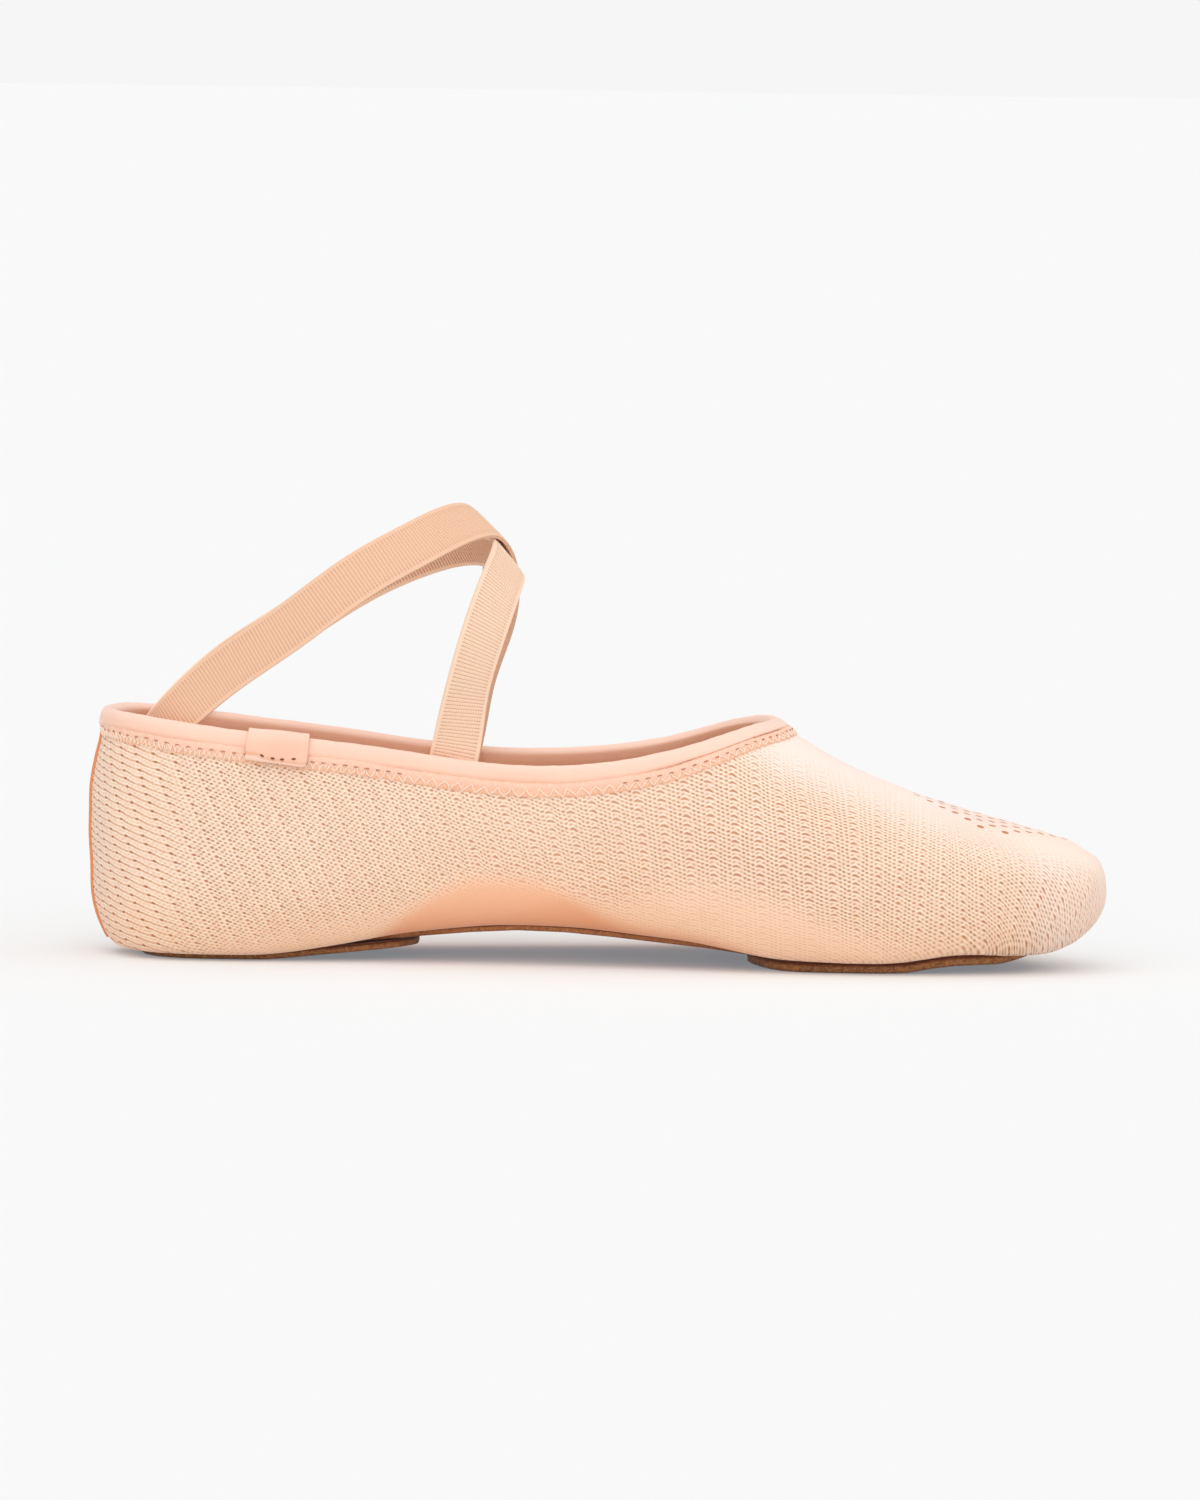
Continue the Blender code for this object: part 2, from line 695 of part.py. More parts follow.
def ankle_normal(point):
    """Outward direction of the ankle's rounded form."""
    return unit((np.asarray(point) - ANKLE_CENTRE) / np.square(ANKLE_AXES))


def build_elastic(name, table, first, last, finish):
    """A flat elastic from one side of the collar over the instep to the other."""
    start_points, start_normals = anchor(*first)
    end_points, end_normals = anchor(*last)
    points = start_points + [np.array(row) for row in table] + end_points[::-1]
    normals = start_normals + [ankle_normal(row) for row in table] + end_normals[::-1]
    path = spline(np.hstack([np.array(points), np.array(normals)]), closed=False)
    shares = np.linspace(0.0, 1.0, ELASTIC_SECTIONS)
    rows = path(shares)
    along = unit(path(shares + 0.004)[:, :3] - path(shares - 0.004)[:, :3])
    across = unit(np.cross(along, rows[:, 3:]))
    outward = np.cross(across, along)
    half = 0.5 * ELASTIC_WIDTH
    thick = 0.5 * ELASTIC_THICKNESS
    edge = 0.25
    section = (
        (-half, thick - edge),
        (-half + edge, thick),
        (half - edge, thick),
        (half, thick - edge),
        (half, edge - thick),
        (half - edge, -thick),
        (edge - half, -thick),
        (-half, edge - thick),
    )
    rings = []
    for i in range(len(shares)):
        rings.append([rows[i, :3] + across[i] * place[0] + outward[i] * place[1] for place in section])
    rings = np.array(rings).reshape(-1, 3)
    return add_object(name, rings, capped_faces(len(shares), len(section)), finish)


def centre_on_origin(objects):
    """Move every piece so that the slipper stands over the origin, midway along and across."""
    corners = [corner for obj in objects for corner in obj.bound_box]
    lows = np.min(corners, axis=0)
    highs = np.max(corners, axis=0)
    shift = Vector((-0.5 * (lows[0] + highs[0]), -0.5 * (lows[1] + highs[1]), 0.0))
    for obj in objects:
        obj.data.transform(Matrix.Translation(shift))


def main():
    clear_scene()
    knit = material("knit_peach", (0.95, 0.74, 0.58), 0.85)
    trim = material("binding_pink", (0.95, 0.64, 0.50), 0.8)
    suede = material("suede_brown", (0.28, 0.13, 0.07), 0.95)
    panel = material("panel_brown", (0.33, 0.16, 0.09), 0.9)
    lining = material("lining_cream", (0.85, 0.72, 0.60), 0.9)
    webbing = material("elastic_peach", (0.95, 0.72, 0.53), 0.8)
    pieces = [
        build_upper(knit),
        build_binding(trim),
        build_tab(trim),
        build_panel(panel),
        pad("heel_pad", HEEL_PAD_REACH, HEEL_PAD_THICKNESS, HEEL_PAD_REACH[1], suede),
        pad("forefoot_pad", FOREFOOT_PAD_REACH, FOREFOOT_PAD_THICKNESS, FOREFOOT_PAD_REACH[0], suede),
        build_insole(lining),
        build_elastic("rear_elastic", REAR_ELASTIC_TABLE, (-1, *REAR_ANCHOR), (1, *FRONT_ANCHOR), webbing),
        build_elastic("front_elastic", FRONT_ELASTIC_TABLE, (-1, *FRONT_ANCHOR), (1, *REAR_ANCHOR), webbing),
    ]
    centre_on_origin(pieces)


main()
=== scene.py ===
import math

import bpy
import numpy as np
from mathutils import Matrix, Vector
from mathutils.bvhtree import BVHTree
from mathutils.kdtree import KDTree


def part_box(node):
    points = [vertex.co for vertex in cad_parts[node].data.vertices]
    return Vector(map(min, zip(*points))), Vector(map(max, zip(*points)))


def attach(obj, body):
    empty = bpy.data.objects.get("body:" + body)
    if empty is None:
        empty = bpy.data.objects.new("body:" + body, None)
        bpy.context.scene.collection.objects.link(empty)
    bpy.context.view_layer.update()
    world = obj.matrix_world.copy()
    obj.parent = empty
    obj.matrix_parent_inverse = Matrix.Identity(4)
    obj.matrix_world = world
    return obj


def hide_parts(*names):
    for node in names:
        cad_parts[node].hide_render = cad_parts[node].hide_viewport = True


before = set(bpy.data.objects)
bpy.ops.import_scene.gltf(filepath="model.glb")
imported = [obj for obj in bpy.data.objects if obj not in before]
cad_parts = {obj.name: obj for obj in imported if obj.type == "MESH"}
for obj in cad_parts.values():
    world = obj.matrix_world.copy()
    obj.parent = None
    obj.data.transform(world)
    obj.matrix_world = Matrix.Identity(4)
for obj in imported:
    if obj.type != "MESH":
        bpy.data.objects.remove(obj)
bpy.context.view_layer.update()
mm = 0.001
print("frame loaded:", len(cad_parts), "solids")


# hand tools: selecting, copying, finishing

def makeActive(piece):
    bpy.ops.object.select_all(action="DESELECT")
    piece.select_set(True)
    bpy.context.view_layer.objects.active = piece


def addObject(name, data):
    added = bpy.data.objects.new(name, data)
    bpy.context.scene.collection.objects.link(added)
    return added


def openForEdit(piece):
    makeActive(piece)
    bpy.ops.object.mode_set(mode="EDIT")
    bpy.ops.mesh.select_all(action="SELECT")


def closeEdit():
    bpy.ops.object.mode_set(mode="OBJECT")


def faceOutward(piece):
    openForEdit(piece)
    bpy.ops.mesh.normals_make_consistent(inside=False)
    closeEdit()


def copyOfNode(nodeName, pieceName):
    # a CAD node's mesh is loose triangles, so the copy is merged and turned back to quads
    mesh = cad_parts[nodeName].data.copy()
    mesh.name = pieceName
    mesh.materials.clear()
    piece = addObject(pieceName, mesh)
    makeActive(piece)
    bpy.ops.mesh.customdata_custom_splitnormals_clear()
    openForEdit(piece)
    bpy.ops.mesh.remove_doubles(threshold=0.02 * mm)
    bpy.ops.mesh.tris_convert_to_quads(
        face_threshold=math.radians(60), shape_threshold=math.radians(70))
    closeEdit()
    return piece


def applyModifier(piece, kind, name, **settings):
    makeActive(piece)
    modifier = piece.modifiers.new(name, kind)
    for key, value in settings.items():
        setattr(modifier, key, value)
    bpy.ops.object.modifier_apply(modifier=modifier.name)


def subdivide(piece, levels, kind="CATMULL_CLARK"):
    applyModifier(piece, "SUBSURF", "divide", levels=levels, render_levels=levels, subdivision_type=kind)


def readVectors(items, key):
    flat = np.empty(len(items) * 3)
    items.foreach_get(key, flat)
    return flat.reshape(-1, 3)


def getPoints(mesh):
    # in millimetres
    return readVectors(mesh.vertices, "co") / mm


def getNormals(mesh):
    return readVectors(mesh.vertices, "normal")


def setPoints(mesh, points):
    mesh.vertices.foreach_set("co", (np.asarray(points, float) * mm).ravel())
    mesh.update()


def setFlatPlaces(mesh, name, along, across):
    # a UV map that holds a place on the cloth for each point
    layer = mesh.uv_layers.new(name=name)
    corners = np.empty(len(mesh.loops), int)
    mesh.loops.foreach_get("vertex_index", corners)
    layer.data.foreach_set("uv", np.column_stack([along[corners], across[corners]]).ravel())


def setZones(mesh, red, green, blue, alpha):
    # four shares held at each point for its material
    layer = mesh.attributes.new("zones", "FLOAT_COLOR", "POINT")
    layer.data.foreach_set("color", np.column_stack([red, green, blue, alpha]).ravel())


def unit(vectors):
    return vectors / np.maximum(np.linalg.norm(vectors, axis=-1, keepdims=True), 1e-12)


def riseOver(low, high, value):
    # 0 below low, 1 above high, soft between
    share = np.clip((value - low) / (high - low), 0.0, 1.0)
    return share * share * (3.0 - 2.0 * share)


def fallOver(low, high, value):
    return 1.0 - riseOver(low, high, value)


def nearestOf(points):
    # finds the nearest of these points
    tree = KDTree(len(points))
    for i, place in enumerate(points):
        tree.insert(place, i)
    tree.balance()
    return tree


def finishPiece(piece, slotName, materials, angle, *nodeNames):
    # its materials and shading, then its body; the nodes that it stands for are hidden
    for material in materials:
        piece.data.materials.append(material)
    makeActive(piece)
    bpy.ops.object.shade_smooth_by_angle(angle=math.radians(angle))
    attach(piece, "root")
    if nodeNames:
        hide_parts(*nodeNames)


def naturalCurve(rows, closed=False):
    # cubic through every row; columns past the third are carried along
    rows = np.asarray(rows, float)
    count = len(rows)
    if closed:
        rows = np.vstack([rows[-4:], rows, rows[:5]])
    steps = np.linalg.norm(np.diff(rows[:, :3], axis=0), axis=1)
    knots = np.concatenate([[0.0], np.cumsum(steps)])
    gaps = np.diff(knots)
    slopes = np.diff(rows, axis=0) / gaps[:, None]
    size = len(rows)
    matrix = np.eye(size)
    target = np.zeros_like(rows)
    for i in range(1, size - 1):
        matrix[i, i - 1] = gaps[i - 1]
        matrix[i, i] = 2.0 * (gaps[i - 1] + gaps[i])
        matrix[i, i + 1] = gaps[i]
        target[i] = 6.0 * (slopes[i] - slopes[i - 1])
    bends = np.linalg.solve(matrix, target)
    first = knots[4] if closed else 0.0
    last = knots[4 + count] if closed else knots[-1]

    def place(shares):
        where = first + (last - first) * np.asarray(shares, float)
        k = np.clip(np.searchsorted(knots, where, side="right") - 1, 0, size - 2)
        h = gaps[k][:, None]
        a = ((knots[k + 1] - where) / gaps[k])[:, None]
        b = 1.0 - a
        curve = a * rows[k] + b * rows[k + 1]
        return curve + ((a ** 3 - a) * bends[k] + (b ** 3 - b) * bends[k + 1]) * h * h / 6.0

    return place


def evenShares(place, count, closed):
    # shares that lie evenly along the curve
    dense = np.linspace(0.0, 1.0, 2001)
    points = place(dense)[:, :3]
    run = np.concatenate([[0.0], np.cumsum(np.linalg.norm(np.diff(points, axis=0), axis=1))])
    marks = np.linspace(0.0, run[-1], count + closed)[:count]
    return np.interp(marks, run, dense), run[-1]


# hand tools: material nodes, each made in the tree of the material that was begun last

bench = {"material": None, "tree": None, "shader": None}


def colour(red, green, blue):
    # screen colour 0..255 to the shader's own
    channels = [c / 255.0 for c in (red, green, blue)]
    linear = [c / 12.92 if c <= 0.04045 else ((c + 0.055) / 1.055) ** 2.4 for c in channels]
    return (*linear, 1.0)


def beginMaterial(name, roughness, sheen=0.0, specular=0.3):
    material = bpy.data.materials.new(name)
    material.use_nodes = True
    shader = material.node_tree.nodes["Principled BSDF"]
    shader.inputs["Roughness"].default_value = roughness
    shader.inputs["Sheen Weight"].default_value = sheen
    shader.inputs["Sheen Roughness"].default_value = 0.4
    shader.inputs["Specular IOR Level"].default_value = specular
    bench.update(material=material, tree=material.node_tree, shader=shader)


def finishMaterial(tone, height, depth, strength, grain, smoothest, roughest):
    # the colour, the relief with its depth in mm, and a roughness that follows the grain
    inputs = bench["shader"].inputs
    relief = node("Bump", Strength=strength, Distance=depth * mm, Height=height)
    join(tone, inputs["Base Color"])
    join(relief.outputs[0], inputs["Normal"])
    join(spread(grain, smoothest, roughest), inputs["Roughness"])
    return bench["material"]


def join(value, socket):
    # a screen colour, a number, or another node's output
    if isinstance(value, tuple):
        socket.default_value = colour(*value)
    elif isinstance(value, (int, float)):
        socket.default_value = value
    else:
        bench["tree"].links.new(value, socket)


def node(kind, **inputs):
    # inputs are given by their names, with _ for each space
    made = bench["tree"].nodes.new("ShaderNode" + kind)
    for name, value in inputs.items():
        join(value, made.inputs[name.replace("_", " ")])
    return made


def calc(operation, *values, clamp=False):
    made = node("Math")
    made.operation = operation
    made.use_clamp = clamp
    for value, socket in zip(values, made.inputs):
        join(value, socket)
    return made.outputs[0]


def plus(first, second):
    return calc("ADD", first, second)


def minus(first, second, clamp=False):
    return calc("SUBTRACT", first, second, clamp=clamp)


def times(first, second, clamp=False):
    return calc("MULTIPLY", first, second, clamp=clamp)


def absolute(value):
    return calc("ABSOLUTE", value)


def fade(value, low, high):
    # 0 below low, 1 above high, soft between
    made = node("MapRange", Value=value, From_Min=low, From_Max=high)
    made.interpolation_type = "SMOOTHSTEP"
    return made.outputs[0]


def spread(value, low, high):
    # 0..1 laid out between two numbers
    return node("MapRange", Value=value, To_Min=low, To_Max=high).outputs[0]


def blend(share, first, second):
    # between two colours
    made = node("Mix")
    made.data_type = "RGBA"
    for value, socket in ((share, 0), (first, 6), (second, 7)):
        join(value, made.inputs[socket])
    return made.outputs[2]


def blendValues(share, first, second):
    made = node("Mix")
    for value, socket in ((share, 0), (first, 2), (second, 3)):
        join(value, made.inputs[socket])
    return made.outputs[0]


def objectPlace(scale=(1.0, 1.0, 1.0)):
    mapping = node("Mapping", Vector=node("TexCoord").outputs["Object"])
    mapping.inputs["Scale"].default_value = scale
    return mapping.outputs[0]


def noise(place, scale, detail=3.0, rough=0.55):
    made = node("TexNoise", Vector=place, Scale=scale, Detail=detail, Roughness=rough)
    return made.outputs["Fac"]


def flatPlace(name):
    made = node("UVMap")
    made.uv_map = name
    return node("SeparateXYZ", Vector=made.outputs[0]).outputs[:2]


def inMillimetres(place):
    return [times(output, 1.0 / mm) for output in node("SeparateXYZ", Vector=place).outputs]


def zoneValues():
    made = node("Attribute")
    made.attribute_name = "zones"
    split = node("SeparateColor", Color=made.outputs["Color"])
    return (*split.outputs[:3], made.outputs["Alpha"])


def centred(value, period):
    # distance to the nearest multiple of the period, signed, in the value's own measure
    turned = calc("FRACT", plus(calc("DIVIDE", value, period), 0.5))
    return times(minus(turned, 0.5), period)


def blob(across, halfWidth, up, halfHeight, flatness=2.0):
    # 1 in the middle of an ellipse, 0 on its edge and outside; more flatness keeps it dark to its ends
    wide = calc("POWER", absolute(calc("DIVIDE", across, halfWidth)), flatness)
    high = calc("POWER", absolute(calc("DIVIDE", up, halfHeight)), 2.0)
    return minus(1.0, plus(wide, high), clamp=True)


def cellChance(first, second):
    # a steady chance from 0 to 1 for every whole-number cell
    cell = node("CombineXYZ", X=calc("ROUND", first), Y=calc("ROUND", second))
    made = node("TexWhiteNoise", Vector=cell.outputs[0])
    made.noise_dimensions = "2D"
    return made.outputs["Value"]


# knitted upper

knit = {
    # by x, mm: how wide a column is, how its rows slope and how the column leans
    "columnPitch": ((-130, 4.2), (-107, 4.3), (-95, 4.6), (-80, 4.75), (-47, 4.6), (-15, 4.9), (15, 5.35),
                    (31, 5.43), (55, 5.6), (72, 5.15), (90, 5.1), (150, 4.9)),
    "rowSlope": ((-130, 0.06), (-107, 0.057), (-95, 0.02), (-80, 0.0), (-47, 0.01), (-15, 0.06),
                 (10, 0.07), (31, 0.045), (45, 0.02), (55, 0.0), (65, -0.05), (72, -0.088),
                 (87, -0.11), (150, -0.12)),
    "columnLean": ((-130, 0.34), (-107, 0.38), (-80, 0.48), (-47, 0.43), (-15, 0.22), (31, 0.05),
                   (55, 0.08), (72, -0.05), (90, 0.0), (150, 0.0)),
    "levelHeight": 28.0,               # height at which these hold, mm
    "rowPitch": 0.985,                 # mm between rows of small holes
    # the rows crowd together where the side turns under, below this height, mm
    "crowdBelow": 20.0,
    "rowCrowding": ((-118, 0.0), (-78, 0.0075), (-30, 0.015), (20, 0.0225), (50, 0.0225), (70, 0.01),
                    (84, 0.0)),
    # how bold the holes are along the shoe
    "boldness": ((-118, 1.0), (-95, 0.95), (-75, 0.88), (-47, 0.86), (-15, 0.68), (10, 0.7), (28, 0.82),
                 (80, 0.84), (104, 0.88), (110, 0.7), (117, 0.45)),
    # height below which the holes die away and the cloth is nearly plain, mm
    "plainBelow": ((-118, -3.0), (-100, 1.5), (-90, 3.0), (-80, 5.0), (-65, 8.0), (-52, 11.0), (-44, 14.0),
                   (-4, 16.0), (4, 16.0), (12, 18.5), (25, 21.0), (38, 19.0), (50, 14.5), (60, 9.5),
                   (70, 7.0), (80, 7.0), (86, 6.0), (91, 0.0), (98, -6.0)),
    "plainFade": 4.5,                  # half the width of that change, mm
    # the small holes of one column: place across, half width, then how dark on the arches' own
    # line and on the line between, first at the heel and then at the front
    "smallHoles": ((0.175, 0.42, 0.85, 0.50, 0.30, 0.60), (0.355, 0.42, 0.85, 0.68, 1.05, 0.76),
                   (0.53, 0.42, 0.75, 0.66, 1.05, 0.76), (0.735, 0.46, 0.70, 0.66, 1.05, 0.72)),
    "heelCentre": (-88.0, 0.0),        # the heel's round in plan, mm
    "heelRadius": 27.0,
    "toeCentre": (80.0, -8.0),
    "toeRadius": 40.0,
    "archesWiden": (-70.0, 4.0),       # along the shoe, mm
    "archesShrink": (46.0, 80.0),
    "diveX": 90.0,                     # past this the rows turn down under the toe
    "diveRadius": 20.0,                # where the columns keep their own width as they turn, mm
    "diveSpread": 0.4,
    "diveTilt": 0.11,                  # slope of the arcs' own middle
    "pleatPitch": 2.0,
    "pleatDepth": 0.09,
    "archFade": 3.2,                   # half the width of the smooth zone's soft border, mm
    # top of the smooth zone at the arch, mm
    "archTop": ((-60, -8.0), (-55, -1.0), (-51, 6.4), (-44, 12.6), (-37, 17.7), (-29, 20.8), (-15, 20.5),
                (-8, 18.0), (-3, 15.2), (2, 12.2), (8, 10.0), (16, 8.6), (26, 7.0), (36, 4.0), (46, -8.0)),
    # the top of the toe is paler above this, mm
    "paleAbove": ((28.0, 53.0), (43.6, 47.5), (105.0, 26.0)),
    "tipPlain": 0.92,                  # how much of the holes is lost over the tip of the toe
    # zones: where each begins along the shoe and where it ends up its side, mm
    "instep": ((20.0, 50.0), (104.0, 117.0)),            # both along the shoe
    "tip": ((92.0, 104.0), (0.6, 0.85)),                 # the second as a share of the half width
    "pleats": ((86.0, 98.0), (7.0, 17.0)),
    "toeUnder": ((70.0, 100.0), (16.0, 30.0)),
    "toeFront": ((94.0, 108.0), (22.0, 34.0)),
    "turnUnder": (8.0, 20.0),          # heights where the side has turned under, and stands up
    "furrowsEnd": (-107.0, -90.0),     # the heel's long furrows die out from here to here
    "coreSpan": (-88.0, 84.0),         # the middle of the shoe, from which its skin faces out
    "coreHeight": 24.0,
    # pinholes set as a plain leaf on top of the toe, mm
    "leafStart": 72.0,
    "leafEnd": 113.0,
    "leafMiddle": -9.0,
    "leafWidth": 20.5,
    "eyeletGap": 5.8,
    "eyeletRadius": 0.95,
    # how far the heel leans back past the solid, by height and dying out forward, mm
    "leanSpan": (-114.0, -88.0),
    "heelLean": ((18, 0.0), (36, 0.7), (50, 1.2), (58, 2.1)),
    "seamHeights": (3.6, 53.5),
    "seamRadius": 0.55,
    "wave": 0.22,                      # slow unevenness of worn knit, mm
    # screen colours
    "threads": ((251, 221, 197), (249, 213, 188), (247, 209, 189)),
    # painted shade: warmer thread low down and along the middle of the side
    "warmShadeThread": (253, 201, 157),
    # paler thread over the top of the toe, and over the toe's front as a painted highlight
    "paleThread": (254, 236, 226),
    # painted highlight on the thread crowns between the rows
    "crownHighlight": (255, 242, 219),
    # the smooth arch zone over its own deeper peach: darker low down and towards the front as painted
    # shade, paler at its top as a painted highlight
    "archShadeTones": ((230, 152, 108), (250, 191, 153)),
    # painted shade in the row furrows
    "rowFurrowShade": (218, 162, 124),
    # painted shade in the heel's long furrows
    "heelFurrowShade": (218, 146, 102),
    "smallHole": (176, 124, 88),
    "archedHole": (186, 116, 70),
    "pinhole": (202, 126, 80),
    "seamTones": ((240, 166, 116), (220, 128, 78)),
    "liningTones": ((246, 222, 202), (240, 210, 188), (226, 188, 160)),
}


def sectionSizes():
    # middle, half width and top of the upper at stations along it, from its CAD solid
    points = getPoints(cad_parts["upper"].data)
    stations = np.arange(-118.0, 119.0, 4.0)
    rows = []
    for x in stations:
        slab = points[np.abs(points[:, 0] - x) < 5.0]
        low, high = slab[:, 1].min(), slab[:, 1].max()
        rows.append((0.5 * (low + high), 0.5 * (high - low), slab[:, 2].max()))
    rows = np.array(rows)
    kernel = np.array([0.25, 0.5, 0.25])
    padded = np.vstack([rows[:1], rows, rows[-1:]])
    smoothed = [np.convolve(column, kernel, mode="valid") for column in padded.T]
    return stations, dict(zip(("middle", "half", "top"), smoothed))


stations, sections = sectionSizes()


def sizeAt(x, which):
    return np.interp(x, stations, sections[which])


def inZone(name, along, height):
    # 1 past the zone's start and under its top, soft at both
    start, top = knit[name]
    return riseOver(*start, along) * fallOver(*top, height)


def table(rows, value):
    rows = np.asarray(rows, float)
    return np.interp(value, rows[:, 0], rows[:, 1])


def runningTotal(rows, transform, value):
    # the table's value summed along the shoe from x = 0
    places = np.arange(-140.0, 160.0, 0.5)
    total = np.cumsum(transform(table(rows, places))) * 0.5
    total -= np.interp(0.0, places, total)
    return np.interp(value, places, total)


def columnAt(long, height):
    pitch = table(knit["columnPitch"], long)
    lean = table(knit["columnLean"], long) * (height - knit["levelHeight"])
    return runningTotal(knit["columnPitch"], lambda v: 1.0 / v, long) + lean / pitch


def knitPlaces(points, facing):
    # column and row of the knit at each point, with the developed length and height in mm;
    # facing is 1 where the skin looks forward, round the tip of the toe
    x, y, z = points.T
    half = sizeAt(x, "half")
    top = sizeAt(x, "top")
    side = np.clip(np.abs(y - sizeAt(x, "middle")) / half, 0.0, 1.0)
    arc = 0.5 * math.pi * np.sqrt(0.5 * (half ** 2 + (top - 8.0) ** 2)) - (top - 8.0)
    overTop = inZone("instep", x, x)
    height = z + np.maximum(arc, 0.0) * (1.0 - side) ** 1.3 * overTop
    heelX, heelY = knit["heelCentre"]
    toeX, toeY = knit["toeCentre"]
    heelTurn = 0.5 * math.pi - np.arctan2(np.abs(y - heelY), np.maximum(heelX - x, 0.0))
    under = fallOver(*knit["turnUnder"], z) * (1.0 - facing)
    toeWidth = np.abs(y - toeY) * (1.0 - under) + half * under
    toeTurn = 0.5 * math.pi - np.arctan2(toeWidth, np.maximum(x - toeX, 0.0))
    long = np.where(x < heelX, heelX - knit["heelRadius"] * heelTurn, x)
    sideShare = np.maximum(side ** 0.5 * (1.0 - under) + under, facing)
    roundToe = toeX + knit["toeRadius"] * toeTurn * sideShare + (x - toeX) * (1.0 - sideShare)
    long = np.where(x > toeX, roundToe, long)
    column = columnAt(long, height)
    # at the heel the falling lines keep their slope seen from the side
    flat = np.where(x < heelX, x, long)
    turned = 2.0 * knit["rowPitch"] * (columnAt(flat, height) - column)
    crowded = table(knit["rowCrowding"], x) * np.maximum(knit["crowdBelow"] - z, 0.0) ** 2
    row = height - crowded - runningTotal(knit["rowSlope"], lambda v: v, flat) + turned
    # past the dive the rows run in arcs down under the toe and the columns fan out across them
    tilt = math.atan(knit["diveTilt"])
    diveRow = -runningTotal(knit["rowSlope"], lambda v: v, knit["diveX"])
    lift = np.maximum((row - diveRow) * math.cos(tilt), 0.5)
    ahead = np.maximum((long - knit["diveX"]) * math.cos(tilt) - height * math.sin(tilt), 0.0)
    radius = np.hypot(lift, ahead)
    fan = knit["diveRadius"] ** (1.0 - knit["diveSpread"]) * radius ** knit["diveSpread"]
    start = columnAt(knit["diveX"] + radius * math.sin(tilt), radius)
    fanned = start + fan * np.arctan2(ahead, lift) / table(knit["columnPitch"], knit["diveX"])
    column = np.where(ahead > 0.0, fanned, column)
    row = np.where(ahead > 0.0, diveRow + radius / math.cos(tilt), row)
    return column, row / knit["rowPitch"], long, height


def outerSkin(points, normals):
    # + outside, - inside, by which way the skin faces from the middle of the shoe
    x = points[:, 0]
    heights = np.full(len(x), knit["coreHeight"])
    centre = np.column_stack([np.clip(x, *knit["coreSpan"]), sizeAt(x, "middle"), heights])
    return np.einsum("ij,ij->i", unit(points - centre), normals)


def leanHeel(points):
    leant = points.copy()
    leant[:, 0] -= table(knit["heelLean"], points[:, 2]) * fallOver(*knit["leanSpan"], points[:, 0])
    return leant


def pleats(long, height, column):
    # short gathers under the toe, fading up the side
    turn = 2.0 * math.pi * long / knit["pleatPitch"] + 0.35 * np.sin(column * 2.1)
    return inZone("pleats", long, height) * np.cos(turn) * knit["pleatDepth"]


def dressUpper():
    piece = copyOfNode("upper", "knitUpper")
    subdivide(piece, 2)
    points = getPoints(piece.data)
    normals = getNormals(piece.data)
    outside = riseOver(-0.1, 0.25, outerSkin(points, normals))
    facing = riseOver(0.45, 0.85, normals[:, 0]) * outside
    column, row, long, height = knitPlaces(points, facing)
    wave = np.sin(long * 0.21 + 1.3 * np.sin(height * 0.16)) * np.sin(height * 0.27 + 0.9)
    free = riseOver(1.5, 7.0, height)
    points += normals * (outside * (pleats(long, height, column) + wave * knit["wave"] * free))[:, None]
    setPoints(piece.data, leanHeel(points))
    # zones: how bold the holes are, the heel's furrows, warmth that carries painted shade and a painted
    # highlight, the smooth arch
    x, y, z = points.T
    arch = fallOver(-knit["archFade"], knit["archFade"], z - table(knit["archTop"], x))
    reach = z - table(knit["plainBelow"], x)
    lowFade = 0.25 + 0.75 * riseOver(-knit["plainFade"], knit["plainFade"], reach)
    pale = riseOver(-8.0, 5.0, z - table(knit["paleAbove"], x)) * riseOver(22.0, 44.0, x)
    strength = (1.0 - 0.95 * arch) * lowFade * (1.0 - (0.9 - 0.06 * riseOver(70.0, 90.0, x)) * pale)
    strength *= table(knit["boldness"], x)
    # over the tip of the toe the knit is stretched plain
    side = np.abs(y - sizeAt(x, "middle")) / sizeAt(x, "half")
    tipTop = inZone("tip", x, side) * riseOver(13.0, 19.0, z)
    strength *= 1.0 - knit["tipPlain"] * tipTop
    furrow = fallOver(*knit["furrowsEnd"], x) + 0.3 * inZone("toeUnder", long, height)
    furrow = np.clip(furrow, 0.0, 1.0) * (1.0 - arch)
    low = fallOver(3.0, 22.0, z)
    middle = np.exp(-((x + 10.0) / 45.0) ** 2) * fallOver(14.0, 36.0, z)
    # below a half the cloth is paler, above it warmer: warmer low down and along the middle of the side as
    # painted shade, paler over the toe's front as a painted highlight, and paler over the top of the toe
    toeFront = inZone("toeFront", x, z)
    warm = 0.5 + 0.25 * (low + middle) * (1.0 - toeFront) - 0.16 * toeFront
    warm -= pale * (0.5 - 0.2 * riseOver(74.0, 90.0, x))
    setZones(piece.data, np.clip(strength, 0.0, 1.0), furrow, np.clip(warm, 0.0, 1.0), arch)
    setFlatPlaces(piece.data, "knitPlace", column, row)
    finishPiece(piece, "knit", [knitMaterial(), liningMaterial()], 80, "upper")
    faces = piece.data.polygons
    faceOut = outerSkin(readVectors(faces, "center") / mm, readVectors(faces, "normal"))
    faces.foreach_set("material_index", np.where(faceOut < 0.0, 1, 0))
    piece.data.update()
    print("upper dressed:", len(faces), "faces")
    return piece


